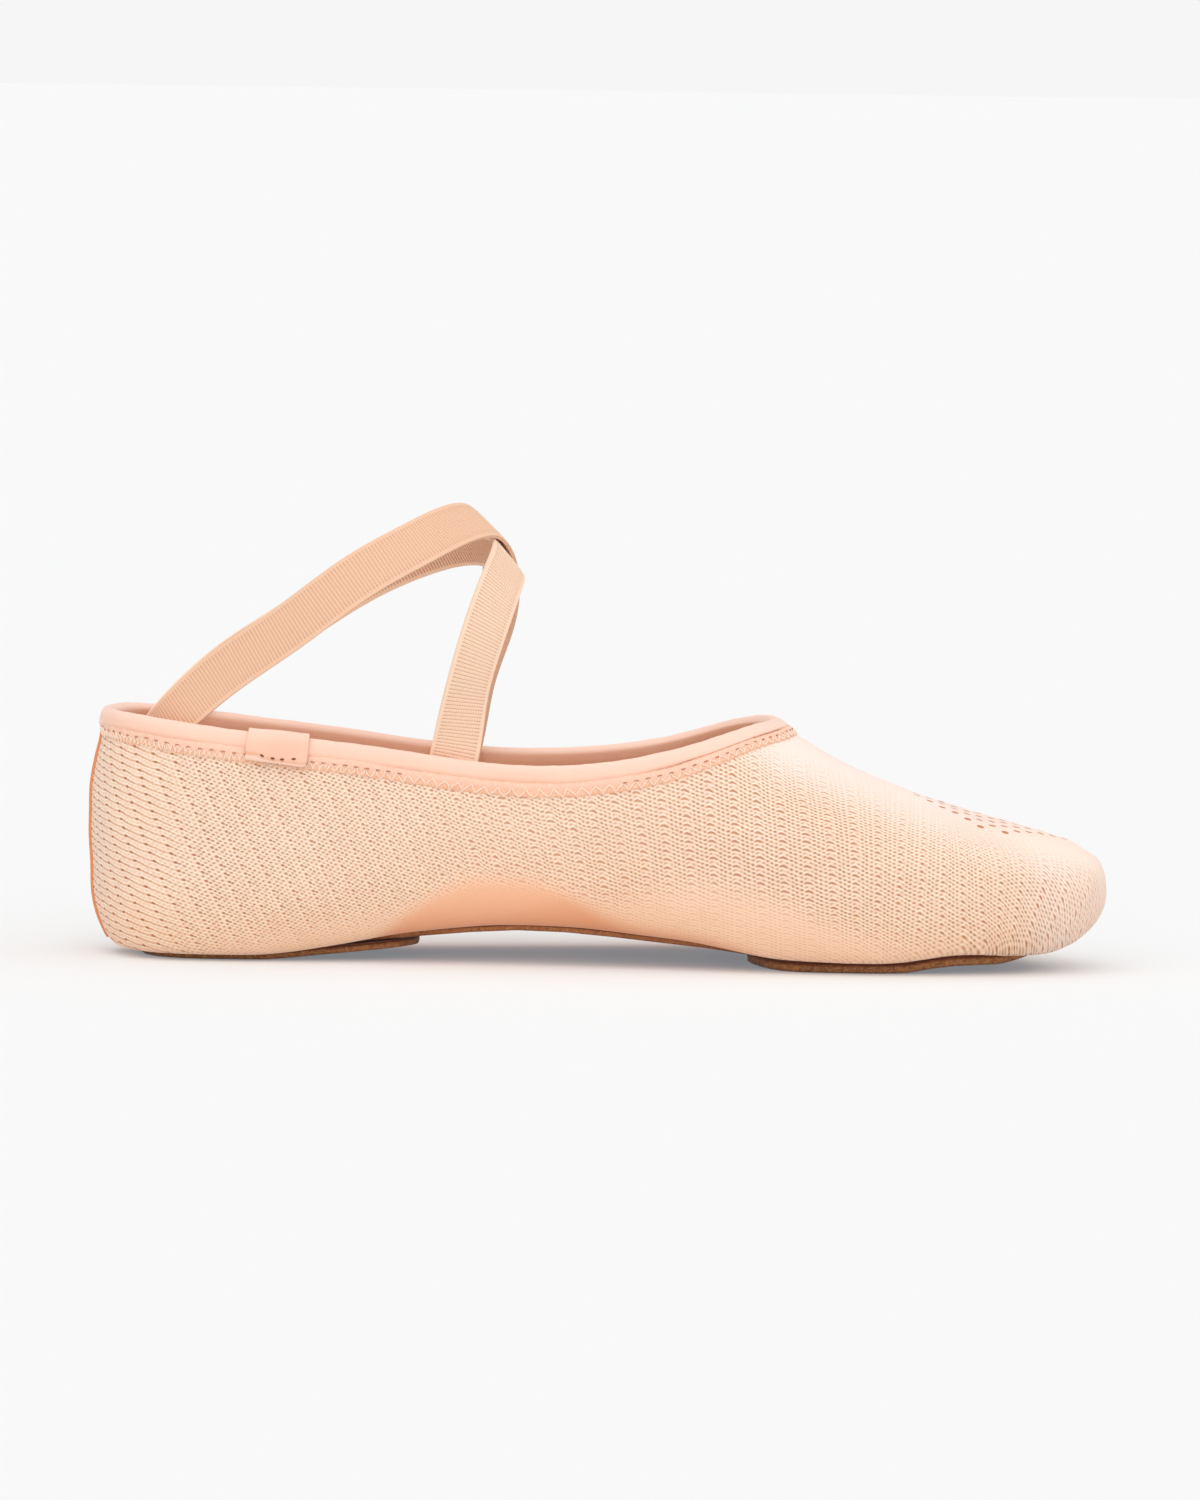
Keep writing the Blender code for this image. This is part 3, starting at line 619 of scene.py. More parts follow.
def knitMaterial():
    beginMaterial("peachKnit", roughness=0.88, sheen=0.15, specular=0.2)
    column, row = flatPlace("knitPlace")
    strength, furrow, warm, arch = zoneValues()
    place = objectPlace()
    x, y, z = inMillimetres(place)
    # the yarn wanders a little, most along the middle of the side
    loose = times(fade(x, -60.0, -30.0), fade(x, 18.0, -8.0))
    wander = spread(loose, 0.5, 1.1)
    drift = times(minus(noise(place, 300.0, 2.0), 0.5), wander)
    row = plus(row, drift)
    column = plus(column, times(drift, 0.2))
    uneven = spread(noise(place, 760.0, 1.0), 0.4, 1.5)
    rowPitch = knit["rowPitch"]
    # the arches are wide along the side and shrink to dots at the heel and the toe
    wide = times(fade(x, *knit["archesWiden"]), spread(fade(x, *knit["archesShrink"]), 1.0, 0.5))
    pitch = spread(wide, 4.4, 5.4)
    # places across are taken level, not along the leaning columns
    lean = spread(wide, 0.48, 0.05)

    def levelAcross(fromColumn, up):
        return minus(times(fromColumn, pitch), times(up, lean))

    # each column has one run of arched holes, every second row, with faint chevrons between
    fromColumn = centred(column, 1.0)
    archRise = times(centred(row, 2.0), rowPitch)
    fromArch = levelAcross(fromColumn, archRise)
    nearArch = times(fade(absolute(fromArch), 1.3, 0.7), wide)
    sag = times(calc("POWER", absolute(fromArch), 1.3), 0.3)
    sag = plus(sag, times(fromArch, 0.13))
    archRow = plus(row, sag)
    archUp = times(centred(archRow, 2.0), rowPitch)
    archChance = cellChance(column, times(archRow, 0.5))
    shifted = minus(fromArch, spread(archChance, -0.02, 0.22))
    tails = blob(shifted, spread(wide, 0.3, 1.08), archUp, 0.37, 4.0)
    tails = times(tails, spread(wide, 0.4, 0.95))
    core = blob(shifted, spread(wide, 0.5, 0.62), archUp, spread(wide, 0.34, 0.38))
    core = times(core, spread(wide, 1.3, 1.1))
    arches = times(calc("MAXIMUM", tails, core), spread(archChance, 0.85, 1.15))
    # under every arch a small hole
    underUp = times(centred(plus(row, 1.03), 2.0), rowPitch)
    underAcross = plus(levelAcross(fromColumn, underUp), spread(wide, 0.16, 0.42))
    underUp = minus(underUp, times(underAcross, spread(wide, 0.0, 0.3)))
    under = blob(underAcross, spread(wide, 0.42, 0.52), underUp, 0.31)
    dots = times(under, spread(wide, 0.8, 0.6))
    # small holes between two arches, on lines that fall two rows a column
    share = calc("FRACT", column)
    belly = calc("SINE", times(calc("POWER", share, 1.5), math.pi))
    fall = plus(plus(row, times(column, 2.0)), times(belly, 0.27))
    dotUp = times(centred(fall, 1.0), rowPitch)
    ownLine = fade(absolute(centred(fall, 2.0)), 0.65, 0.35)
    for which, (at, halfWidth, heelOwn, heelOther, frontOwn, frontOther) in enumerate(knit["smallHoles"]):
        moved = minus(column, at)
        cell = plus(times(calc("ROUND", moved), 5.0), float(which))
        chance = cellChance(cell, fall)
        beside = centred(moved, 1.0)
        up = minus(dotUp, times(beside, 2.0 * rowPitch))
        across = plus(levelAcross(beside, up), spread(chance, -0.1, 0.1))
        own = spread(wide, heelOwn, frontOwn)
        other = spread(wide, heelOther, frontOther)
        dark = times(blendValues(ownLine, other, own), spread(chance, 0.8, 1.2))
        spot = times(blob(across, halfWidth, up, 0.33), dark)
        dots = calc("MAXIMUM", dots, spot)
    dots = times(dots, spread(furrow, 1.0, 0.35))
    # every row is a shallow furrow between pale threads, painted darker as painted shade: chevrons at the
    # arches, falling lines between
    fallLine = absolute(centred(fall, 1.0))
    archLine = absolute(centred(archRow, 1.0))
    anyLine = blendValues(nearArch, fallLine, archLine)
    calm = times(spread(furrow, 1.0, 0.15), spread(wide, 0.12, 1.0))
    rowShade = times(fade(anyLine, 0.4, 0.04), times(calm, uneven), clamp=True)
    crown = fade(anyLine, 0.24, 0.48)
    # the heel's long furrows start at an arch and die away; they are painted darker as painted shade
    longLine = absolute(times(centred(fall, 2.0), rowPitch))
    trail = spread(calc("FRACT", plus(column, 0.12)), 1.15, 0.55)
    heelLine = times(fade(longLine, 0.36, 0.06), times(trail, furrow))
    heelLine = times(heelLine, spread(uneven, 0.35, 1.0), clamp=True)
    grain = noise(place, 2600.0, 2.0, 0.7)
    holes = eyeletHoles(x, y, z)
    # colour: pale threads with painted highlights on their crowns, painted shade in the row furrows,
    # warmer low down and at the arch as painted shade, orange brown in the holes
    patches = noise(place, 28.0, 3.0)
    mottle = noise(place, 1300.0, 1.0)
    blush = noise(place, 900.0, 1.0)
    light, deep, rosy = knit["threads"]
    thread = blend(fade(patches, 0.3, 0.75), light, deep)
    thread = blend(fade(blush, 0.45, 0.7), thread, rosy)
    # warmer low down and mid-side as painted shade, paler over the toe's front as a painted highlight
    warmer = times(minus(warm, 0.5), 1.8, clamp=True)
    paler = times(minus(0.5, warm), 1.9, clamp=True)
    thread = blend(warmer, thread, knit["warmShadeThread"])
    thread = blend(paler, thread, knit["paleThread"])
    # the smooth arch zone: its own deeper peach, painted darker towards its bottom and its front as
    # painted shade, paler at its top as a painted highlight
    deeper = minus(z, times(fade(x, -30.0, 2.0), 5.0))
    archTone = blend(fade(deeper, 3.0, 20.0), *knit["archShadeTones"])
    thread = blend(times(arch, 0.85), thread, archTone)
    # painted highlight on the thread crowns
    lit = times(times(crown, strength), fade(mottle, 0.3, 0.65))
    thread = blend(lit, thread, knit["crownHighlight"])
    plain = times(spread(arch, 1.0, 0.0), spread(strength, 0.25, 1.0))
    rowShare = times(times(rowShade, plain), spread(nearArch, 0.5, 0.3))
    # painted shade along the row furrows
    tone = blend(rowShare, thread, knit["rowFurrowShade"])
    # painted shade in the heel's furrows
    tone = blend(times(heelLine, 0.8), tone, knit["heelFurrowShade"])
    bold = times(strength, 0.92)
    dotShade = times(fade(dots, 0.0, 0.85), bold)
    tone = blend(dotShade, tone, knit["smallHole"])
    archShade = times(fade(arches, 0.05, 0.85), bold)
    tone = blend(archShade, tone, knit["archedHole"])
    tone = blend(times(holes, 0.95), tone, knit["pinhole"])
    # relief: holes sunk, threads raised between the rows, yarn fuzz
    sunk = times(calc("MAXIMUM", arches, dots), times(strength, 0.7))
    sunk = calc("MAXIMUM", sunk, times(holes, 1.4))
    raised = times(crown, times(plain, 0.3))
    raised = minus(raised, times(heelLine, 0.6))
    height = plus(minus(raised, sunk), times(grain, 0.25))
    return finishMaterial(tone, height, 0.2, 0.8, grain, 0.74, 0.95)


def eyeletHoles(x, y, z):
    # a plain lattice of pinholes inside a leaf outline on the toe's top
    length = knit["leafEnd"] - knit["leafStart"]
    forward = minus(x, knit["leafStart"])
    across = minus(y, knit["leafMiddle"])
    gap = knit["eyeletGap"]
    first = centred(plus(forward, across), gap)
    second = centred(minus(forward, across), gap)
    # the leaf's outline is asked at a pinhole's own middle, so none is cut
    middle = minus(forward, times(plus(first, second), 0.5))
    beside = minus(across, times(minus(first, second), 0.5))
    share = calc("DIVIDE", middle, length, clamp=True)
    width = times(calc("SINE", times(share, math.pi)), knit["leafWidth"])
    inside = fade(minus(width, absolute(beside)), 0.8, 0.85)
    radius = knit["eyeletRadius"] * math.sqrt(2.0)
    spot = times(blob(first, radius, second, radius), inside)
    return times(fade(spot, 0.05, 0.5), fade(z, 20.0, 23.0))


def liningMaterial():
    beginMaterial("creamLining", roughness=0.9, sheen=0.2, specular=0.2)
    wave = noise(objectPlace((1.0, 1.0, 3.0)), 1500.0, 2.0, 0.6)
    patches = noise(objectPlace(), 40.0, 3.0)
    light, deep, hollow = knit["liningTones"]
    tone = blend(fade(patches, 0.3, 0.7), light, deep)
    tone = blend(times(wave, 0.35), tone, hollow)
    return finishMaterial(tone, wave, 0.15, 0.7, wave, 0.8, 0.98)


def dressBackSeam():
    # the raised closing seam that runs down the middle of the heel
    low, high = knit["seamHeights"]
    points = []
    for z in np.linspace(low, high, 60):
        hit = upperTree.ray_cast(Vector((-0.2, 0.0, z * mm)), Vector((1.0, 0.0, 0.0)))
        twist = 0.12 * math.sin(z * 2.4) * mm
        points.append(np.array(hit[0]) + np.array(hit[1]) * 0.1 * mm + np.array((0.0, twist, 0.0)))
    piece = threadThrough("backSeam", np.array(points), knit["seamRadius"], False)
    finishPiece(piece, "knit", [threadMaterial("seamThread", knit["seamTones"])], 80)


upper = dressUpper()
upperTree = BVHTree.FromObject(upper, bpy.context.evaluated_depsgraph_get())


# collar: binding, zigzag band, stitches

collar = {
    # the knit's top edge, from the back seam round the outer side to the toe and back, mm
    "edge": ((-115.0, 0.0, 57.2), (-108.3, 19.7, 56.9), (-90.0, 27.5, 54.3), (-62.0, 28.7, 51.0),
             (-31.0, 31.3, 46.9), (-2.0, 34.0, 46.9), (18.5, 33.0, 50.2), (30.0, 26.5, 54.0),
             (36.3, 18.0, 55.9), (39.4, 9.5, 56.7), (40.8, 2.0, 56.9), (41.0, -5.5, 56.9),
             (40.0, -12.5, 56.9), (37.2, -19.0, 56.6), (31.5, -25.5, 55.2), (22.5, -30.5, 52.4),
             (9.0, -32.2, 49.0), (-7.0, -31.2, 46.8), (-26.0, -28.8, 46.9), (-48.0, -27.9, 49.8),
             (-69.0, -27.7, 52.2), (-90.0, -27.3, 54.4), (-108.3, -19.7, 56.9)),
    # the band under the binding: distance down from the knit's edge, rise from the knit, mm
    "bandProfile": ((1.5, 0.30), (2.3, 0.75), (3.0, 0.96), (3.8, 0.96), (4.1, 0.80), (4.5, 0.60),
                    (5.0, 0.47), (5.5, 0.42), (5.8, 0.32), (6.05, -0.1)),
    "ripplePitch": 2.4,
    "rippleHeight": 0.05,
    "zigzagReach": (4.2, 6.0),
    # the band and its threads are narrower round the front, by x
    "reach": ((-130, 1.0), (8, 1.0), (30, 0.83), (60, 0.83)),
    "lipDrop": 0.8,          # how far the binding's outer lip reaches past the solid, mm
    "fullness": 0.22,        # how much plumper its outer side is than the solid, mm
    "walkGap": 0.35,         # rows walked down the skin from the edge, mm apart
    # places taken along the collar for each of its pieces
    "bindingColumns": 400,
    "bandColumns": 560,
    "zigzagColumns": 1600,
    # closer at the heel than along the side, mm
    "zigzagPitch": ((-120, 1.1), (-72, 1.3), (-50, 2.6), (-20, 3.3), (5, 3.0), (20, 2.3), (50, 2.1)),
    "zigzagLifts": (0.78, 0.58, 0.36),    # of the thread off the knit, from the top down
    "zigzagThread": 0.18,    # radius
    "stitchLine": 4.15,      # distance of the plain stitches below the edge, mm
    "stitchLift": 0.88,
    "stitchPitch": 2.6,
    "stitchLength": 1.3,
    "stitchRadius": 0.17,
    "stitchesSink": (-46.0, 4.0),         # between these the stitches sink out of sight
    # screen colours
    "bindingTones": ((250, 203, 178), (247, 194, 168)),
    # painted highlight where the binding faces up
    "bindingTopHighlight": (254, 222, 206),
    # painted shade in the tab's groove
    "bindingCreaseShade": (226, 158, 120),
    "bindingWeave": (236, 176, 144),
    "bandTones": ((250, 202, 177), (242, 185, 148)),    # next to the binding, along the low edge
    "bandFuzz": (252, 214, 188),
    "zigzagTones": ((255, 236, 219), (252, 220, 198)),
    # brown thread, darkened partly as painted shade of the groove it lies in
    "stitchTonesInShade": ((204, 142, 108), (180, 114, 82)),
}


def walkDown(points, along, rowCount):
    # follows the upper's outer skin down from its edge, one gap a row: a point and a normal for each
    # place of each row, in metres
    gap = collar["walkGap"]
    forward = [Vector(a) for a in along]
    hits = []
    headings = []
    for p in [Vector(point) * mm for point in points]:
        core = Vector((max(min(p.x, 0.006), -0.086), 0.0, 0.0))
        away = (Vector((p.x, p.y, 0.0)) - core).normalized()
        # over the throat's front the skin faces up, so it is found from above
        rise = 1.2 * riseOver(28.0, 37.0, p.x / mm)
        hits.append(upperTree.find_nearest(p + (away * 1.2 + Vector((0.0, 0.0, rise))) * mm)[:2])
        headings.append(away * 0.6 - Vector((0.0, 0.0, 1.0)))
    rows = [hits]
    while len(rows) < rowCount:
        hits = []
        for (place, normal), ahead, heading in zip(rows[-1], forward, headings):
            down = normal.cross(ahead).normalized()
            if down.dot(heading) < 0.0:
                down = -down
            hits.append(upperTree.find_nearest(place + down * gap * mm + normal * 0.4 * mm)[:2])
        rows.append(hits)
    return np.array(rows)


collarCurve = naturalCurve(collar["edge"], closed=True)
collarLength = evenShares(collarCurve, 1, closed=True)[1]


def collarRows(count, distances):
    # points and normals on the skin at each distance below the edge, and the way along it
    points = collarCurve(evenShares(collarCurve, count, closed=True)[0])
    along = unit(np.roll(points, -1, axis=0) - np.roll(points, 1, axis=0))
    gap = collar["walkGap"]
    walked = walkDown(points, along, math.ceil(max(distances) / gap) + 2)
    reach = table(collar["reach"], points[:, 0])
    places = np.arange(count)
    picked = []
    for distance in distances:
        step = distance * reach / gap
        first = np.floor(step).astype(int)
        part = (step - first)[:, None, None]
        row = walked[first, places] * (1.0 - part) + walked[first + 1, places] * part
        picked.append((row[:, 0], unit(row[:, 1])))
    return picked, along


def meshPiece(name, points, faces):
    mesh = bpy.data.meshes.new(name)
    mesh.from_pydata([tuple(p) for p in points], [], [tuple(f) for f in faces])
    mesh.update()
    return addObject(name, mesh)


def dressBinding():
    piece = copyOfNode("collar_binding", "collarBinding")
    subdivide(piece, 2)
    points = getPoints(piece.data)
    normals = getNormals(piece.data)
    turn = np.arctan2(points[:, 1], points[:, 0] + 36.0)
    pucker = 0.04 * np.sin(turn * 97.0 + 1.5 * np.sin(turn * 17.0)) + 0.03 * np.sin(turn * 41.0)
    # plumper than the solid half way up its outer side, its lip drawn down over the knit
    away = np.clip(1.0 - np.abs(normals[:, 2]), 0.0, 1.0) ** 2
    points += normals * (pucker + collar["fullness"] * away)[:, None]
    rows = collarRows(collar["bindingColumns"], [0.8, 4.0])[0]
    rim, lower = [row[0] / mm for row in rows]
    down = unit(lower - rim)
    nearest = nearestOf(rim)
    which = np.array([nearest.find(p)[1] for p in points])
    depth = np.einsum("ij,ij->i", points - rim[which], down[which])
    drop = collar["lipDrop"] * riseOver(0.6, 2.4, depth) * fallOver(8.0, 28.0, points[:, 0])
    points += down[which] * drop[:, None]
    setPoints(piece.data, leanHeel(points))
    # painted highlight: the binding is painted lighter where it faces up
    topLit = riseOver(-0.15, 0.75, getNormals(piece.data)[:, 2])
    setZones(piece.data, topLit, 0.0 * topLit, topLit, topLit)
    finishPiece(piece, "binding", [bindingMaterial()], 75, "collar_binding")


def bindingMaterial():
    beginMaterial("peachBinding", roughness=0.62, sheen=0.35, specular=0.3)
    weave = noise(objectPlace((1.0, 1.0, 2.5)), 1700.0, 2.0, 0.6)
    patches = noise(objectPlace(), 60.0, 3.0)
    topLit, crease = zoneValues()[:2]
    tone = blend(fade(patches, 0.3, 0.75), *collar["bindingTones"])
    # painted highlight on the upward-facing cloth
    tone = blend(times(topLit, 0.7), tone, collar["bindingTopHighlight"])
    # painted shade in the tab's groove, where the low edge folds up
    tone = blend(times(crease, 0.6), tone, collar["bindingCreaseShade"])
    tone = blend(times(weave, 0.2), tone, collar["bindingWeave"])
    return finishMaterial(tone, weave, 0.08, 0.6, weave, 0.55, 0.75)


def dressBand():
    # the flattened edge of the binding, caught down by zigzag stitches
    count = collar["bandColumns"]
    # it starts tucked under the binding, level with its outer side, and thins downward
    distances = [row[0] for row in collar["bandProfile"]]
    lifts = [row[1] for row in collar["bandProfile"]]
    turns = np.arange(count) * 2.0 * math.pi * collarLength / collar["ripplePitch"] / count
    ripple = collar["rippleHeight"] * np.sin(turns)
    rings = []
    for lift, (places, normals) in zip(lifts, collarRows(count, distances)[0]):
        rings.append(places + normals * ((lift + ripple)[:, None] * mm))
    points = np.concatenate(rings)
    faces = []
    for k in range(len(rings) - 1):
        for i in range(count):
            j = (i + 1) % count
            faces.append((k * count + i, k * count + j, (k + 1) * count + j, (k + 1) * count + i))
    piece = meshPiece("zigzagBand", points, faces)
    faceOutward(piece)
    down = riseOver(0.35, 0.85, np.repeat(np.linspace(0.0, 1.0, len(rings)), count))
    setZones(piece.data, down, down, down, down)
    applyModifier(piece, "SOLIDIFY", "thickness", thickness=0.25 * mm, offset=-1.0)
    finishPiece(piece, "binding", [bandMaterial()], 75)


def bandMaterial():
    beginMaterial("stitchedBand", roughness=0.85, sheen=0.2, specular=0.2)
    fuzz = noise(objectPlace((1.0, 1.0, 0.5)), 2200.0, 3.0, 0.7)
    down = zoneValues()[0]
    base = blend(down, *collar["bandTones"])
    tone = blend(fade(fuzz, 0.4, 0.75), base, collar["bandFuzz"])
    return finishMaterial(tone, fuzz, 0.2, 0.8, fuzz, 0.75, 0.95)


def threadMaterial(name, tones):
    beginMaterial(name, roughness=0.7, sheen=0.2, specular=0.3)
    ply = noise(objectPlace(), 3200.0, 2.0, 0.6)
    return finishMaterial(blend(ply, *tones), ply, 0.08, 0.8, ply, 0.6, 0.8)


def threadThrough(name, points, radius, closed):
    # a sewing thread through given points, as a mesh
    curve = bpy.data.curves.new(name, "CURVE")
    curve.dimensions = "3D"
    curve.bevel_depth = radius * mm
    curve.bevel_resolution = 1
    curve.use_fill_caps = not closed
    spline = curve.splines.new("POLY")
    spline.points.add(len(points) - 1)
    spline.points.foreach_set("co", np.column_stack([points, np.ones(len(points))]).ravel())
    spline.use_cyclic_u = closed
    makeActive(addObject(name, curve))
    bpy.ops.object.convert(target="MESH")
    piece = bpy.context.view_layer.objects.active
    openForEdit(piece)
    bpy.ops.mesh.remove_doubles(threshold=0.001 * mm)
    closeEdit()
    faceOutward(piece)
    return piece


def zigzagShares(places):
    # where each turn of the zigzag falls along the collar, as shares of it
    pitch = table(collar["zigzagPitch"], places[:, 0] / mm)
    turns = np.concatenate([[0.0], np.cumsum(collarLength / len(places) / pitch)])
    whole = int(round(turns[-1]))
    marks = np.arange(whole * 4) * turns[-1] / (whole * 4)
    return np.interp(marks, turns, np.linspace(0.0, 1.0, len(turns)))


def dressZigzag():
    # thread that runs up and down across the band, one leg to each half pitch
    top, low = collar["zigzagReach"]
    dense = collar["zigzagColumns"]
    rows = collarRows(dense, [top, 0.5 * (top + low), low])[0]
    points = []
    for i, share in enumerate(zigzagShares(rows[1][0])):
        which = (0, 1, 2, 1)[i % 4]
        places, normals = rows[which]
        share = share * dense + 1.2 * math.sin(i * 1.7)
        k = int(math.floor(share)) % dense
        part = share - math.floor(share)
        place = places[k] * (1.0 - part) + places[(k + 1) % dense] * part
        points.append(place + normals[k] * collar["zigzagLifts"][which] * mm)
    piece = threadThrough("zigzagThread", np.array(points), collar["zigzagThread"], True)
    finishPiece(piece, "binding", [threadMaterial("paleThread", collar["zigzagTones"])], 80)


def oneStitch(length, radius):
    # a stitch lying along x: a little sphere drawn out, its ends pushed down into the cloth
    bpy.ops.object.select_all(action="DESELECT")
    bpy.ops.mesh.primitive_uv_sphere_add(segments=8, ring_count=6, radius=radius * mm)
    stitch = bpy.context.view_layer.objects.active
    openForEdit(stitch)
    bpy.ops.transform.resize(value=(0.5 * length / radius, 1.0, 0.8))
    closeEdit()
    points = getPoints(stitch.data)
    points[:, 2] -= radius * 1.1 * (points[:, 0] / (0.5 * length)) ** 4
    setPoints(stitch.data, points)
    return stitch


def strewn(name, unitPiece, places, along, normals):
    # copies of a small piece, each turned to its place, joined as one mesh
    base = getPoints(unitPiece.data) * mm
    faces = [tuple(p.vertices) for p in unitPiece.data.polygons]
    points, allFaces = [], []
    for place, ahead, up in zip(places, along, normals):
        across = unit(np.cross(up, ahead))
        ahead = np.cross(across, up)
        start = len(points) * len(base)
        points.append(place + base[:, :1] * ahead + base[:, 1:2] * across + base[:, 2:] * up)
        allFaces += [tuple(start + v for v in face) for face in faces]
    bpy.data.objects.remove(unitPiece)
    return meshPiece(name, np.concatenate(points), allFaces)


def dressCollarStitches():
    count = int(round(collarLength / collar["stitchPitch"]))
    rows, along = collarRows(count, [collar["stitchLine"]])
    places, normals = rows[0]
    # along the middle of each side the line sinks into the cloth
    low, high = collar["stitchesSink"]
    shown = (places[:, 0] < low * mm) | (places[:, 0] > high * mm)
    places = places + normals * collar["stitchLift"] * mm
    stitch = oneStitch(collar["stitchLength"], collar["stitchRadius"])
    piece = strewn("collarStitches", stitch, places[shown], along[shown], normals[shown])
    finishPiece(piece, "binding", [threadMaterial("brownThread", collar["stitchTonesInShade"])], 80)


dressBackSeam()
dressBinding()
dressBand()
dressZigzag()
dressCollarStitches()
print("collar dressed: length", round(collarLength, 1), "mm")


# tab on the inner side

tab = {
    # x, height above the low edge and slope of each stitch
    "stitches": ((-79.0, 0.98, -0.55), (-76.5, 0.60, -0.12), (-74.3, 0.60, 0.0), (-71.6, 1.0, 0.1)),
    "stitchLength": 1.15,
    "stitchRadius": 0.27,
    "threadTones": ((142, 80, 58), (112, 60, 42)),      # screen colours
    "leftTrim": 0.7,
    "foldHeight": 0.72,      # top of the folded strip along the low edge
    "lowDrop": 0.8,          # how far the low edge reaches past the solid, mm
}


def tabLow(x):
    # height of the tab's low outer edge at x, mm
    low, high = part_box("collar_tab")
    points = getPoints(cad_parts["collar_tab"].data)
    outer = points[points[:, 1] < low.y / mm + 3.0]
    leftEnd = outer[outer[:, 0] < low.x / mm + 2.5][:, 2].min()
    rightEnd = outer[outer[:, 0] > high.x / mm - 2.5][:, 2].min()
    share = (x - low.x / mm) / (high.x / mm - low.x / mm)
    return leftEnd + (rightEnd - leftEnd) * share


def dressTab():
    piece = copyOfNode("collar_tab", "collarTab")
    applyModifier(piece, "BEVEL", "edges", width=0.25 * mm, segments=3)
    subdivide(piece, 3, "SIMPLE")
    points = getPoints(piece.data)
    normals = getNormals(piece.data)
    left, right = points[:, 0].min(), points[:, 0].max()
    low, high = points[:, 2].min(), points[:, 2].max()
    share = (points[:, 0] - left) / (right - left)
    rise = (points[:, 2] - low) / (high - low)
    # slack cloth: hollow between its edges, with a groove where the low edge is folded up
    fold = tabLow(points[:, 0]) + tab["foldHeight"]
    fold += 0.5 * fallOver(0.1, 0.4, share)
    groove = np.exp(-((points[:, 2] - fold) / 0.32) ** 2)
    slack = 0.18 * np.sin(share * 7.0 + 0.6) * np.sin(rise * 4.0) - 0.24 * groove
    points += normals * slack[:, None]
    points[:, 0] += tab["leftTrim"] * (1.0 - share)
    corner = riseOver(0.86, 1.0, share) * fallOver(0.0, 0.2, rise)
    points[:, 2] += 0.45 * corner - tab["lowDrop"] * fallOver(0.0, 0.4, rise)
    points[:, 2] -= 0.35 * riseOver(0.6, 1.0, rise)
    setPoints(piece.data, points)
    # painted highlight: the tab is painted lighter towards its top and over its folded strip; the groove
    # gets painted shade
    topLit = np.clip(riseOver(0.35, 1.0, rise) + riseOver(0.3, 0.9, fold - points[:, 2]), 0.0, 1.0)
    setZones(piece.data, topLit, groove, topLit, topLit)
    finishPiece(piece, "binding", [bindingMaterial()], 60, "collar_tab")
    skin = BVHTree.FromObject(piece, bpy.context.evaluated_depsgraph_get())
    places, along, normals = [], [], []
    for x, above, slope in tab["stitches"]:
        start = Vector((x * mm, -0.05, (tabLow(x) + above) * mm))
        hit = skin.ray_cast(start, Vector((0.0, 1.0, 0.0)))
        places.append(np.array(hit[0]) + np.array(hit[1]) * 0.08 * mm)
        normals.append(np.array(hit[1]))
        along.append(unit(np.array((1.0, 0.0, slope))))
    stitch = oneStitch(tab["stitchLength"], tab["stitchRadius"])
    piece = strewn("tabStitches", stitch, places, along, normals)
    finishPiece(piece, "binding", [threadMaterial("tabThread", tab["threadTones"])], 80)


dressTab()
print("tab dressed")


# elastics over the instep

elastic = {
    "width": 11.3,
    "thickness": 0.85,
    "ribPitch": 0.86,
    "ribHeight": 0.14,
    "selvedge": 0.85,
    "cordPitch": 0.62,
    "lengthSteps": 4,        # mesh rows to each rib
    "ankleCentre": (-60.0, 0.0, 66.0),
    "ankleAxes": (46.0, 32.0, 46.0),
    # centre line, mm, inside the collar at both ends
    "rearRoute": ((-108.9, -14.3, 48.8), (-104.6, -17.6, 52.8), (-91.0, -23.4, 65.9), (-73.0, -28.6, 79.2),
                  (-56.7, -28.6, 91.4), (-43.5, -22.5, 98.8), (-34.5, -12.5, 102.9), (-28.3, -3.0, 103.2),
                  (-24.9, 6.5, 97.8), (-24.0, 15.5, 89.8), (-25.6, 23.5, 79.0), (-30.6, 27.8, 63.5),
                  (-35.1, 27.9, 43.6), (-36.4, 29.2, 39.5)),
    "frontRoute": ((-36.8, -26.6, 40.2), (-35.4, -25.2, 44.4), (-31.6, -27.0, 63.5), (-27.5, -24.5, 78.5),
                   (-23.7, -16.5, 89.4), (-22.2, -5.0, 94.7), (-25.4, 5.5, 95.6), (-32.5, 15.5, 96.6),
                   (-45.0, 24.8, 93.3), (-58.0, 29.3, 87.0), (-73.5, 29.0, 77.0), (-91.0, 23.6, 65.2),
                   (-104.6, 17.6, 52.8), (-108.9, 14.3, 48.8)),
    # how the elastic faces where it is sewn in: rear, then middle, on the inner side
    "rearFacing": ((-0.81, -0.48, 0.32), (-0.61, -0.73, 0.31)),
    "middleFacing": ((0.01, -0.95, 0.31), (0.0, -0.95, 0.31)),
    # screen colours; the two elastics are one cloth, painted darker at the rear as painted shade and paler
    # at the front as painted light
    "rearShadedTones": ((240, 200, 170), (234, 188, 156)),
    "frontLitTones": ((252, 222, 196), (248, 210, 182)),
    # painted shade in the rib grooves and in the gaps between the cords
    "grooveShadeTone": (204, 142, 104),
    "cordGapShadeTone": (220, 160, 122),
}


def elasticFacings(route):
    # it lies on the round of the ankle, and at both ends as it is sewn in
    centre = np.array(elastic["ankleCentre"])
    axes = np.array(elastic["ankleAxes"])
    facings = unit((np.array(route) - centre) / axes ** 2)
    for ends in ((0, 1), (-1, -2)):
        x, y = route[ends[0]][:2]
        pair = elastic["rearFacing"] if x < -80.0 else elastic["middleFacing"]
        for end, (ahead, sideways, up) in zip(ends, pair):
            facings[end] = ahead, math.copysign(sideways, y), up
    return facings


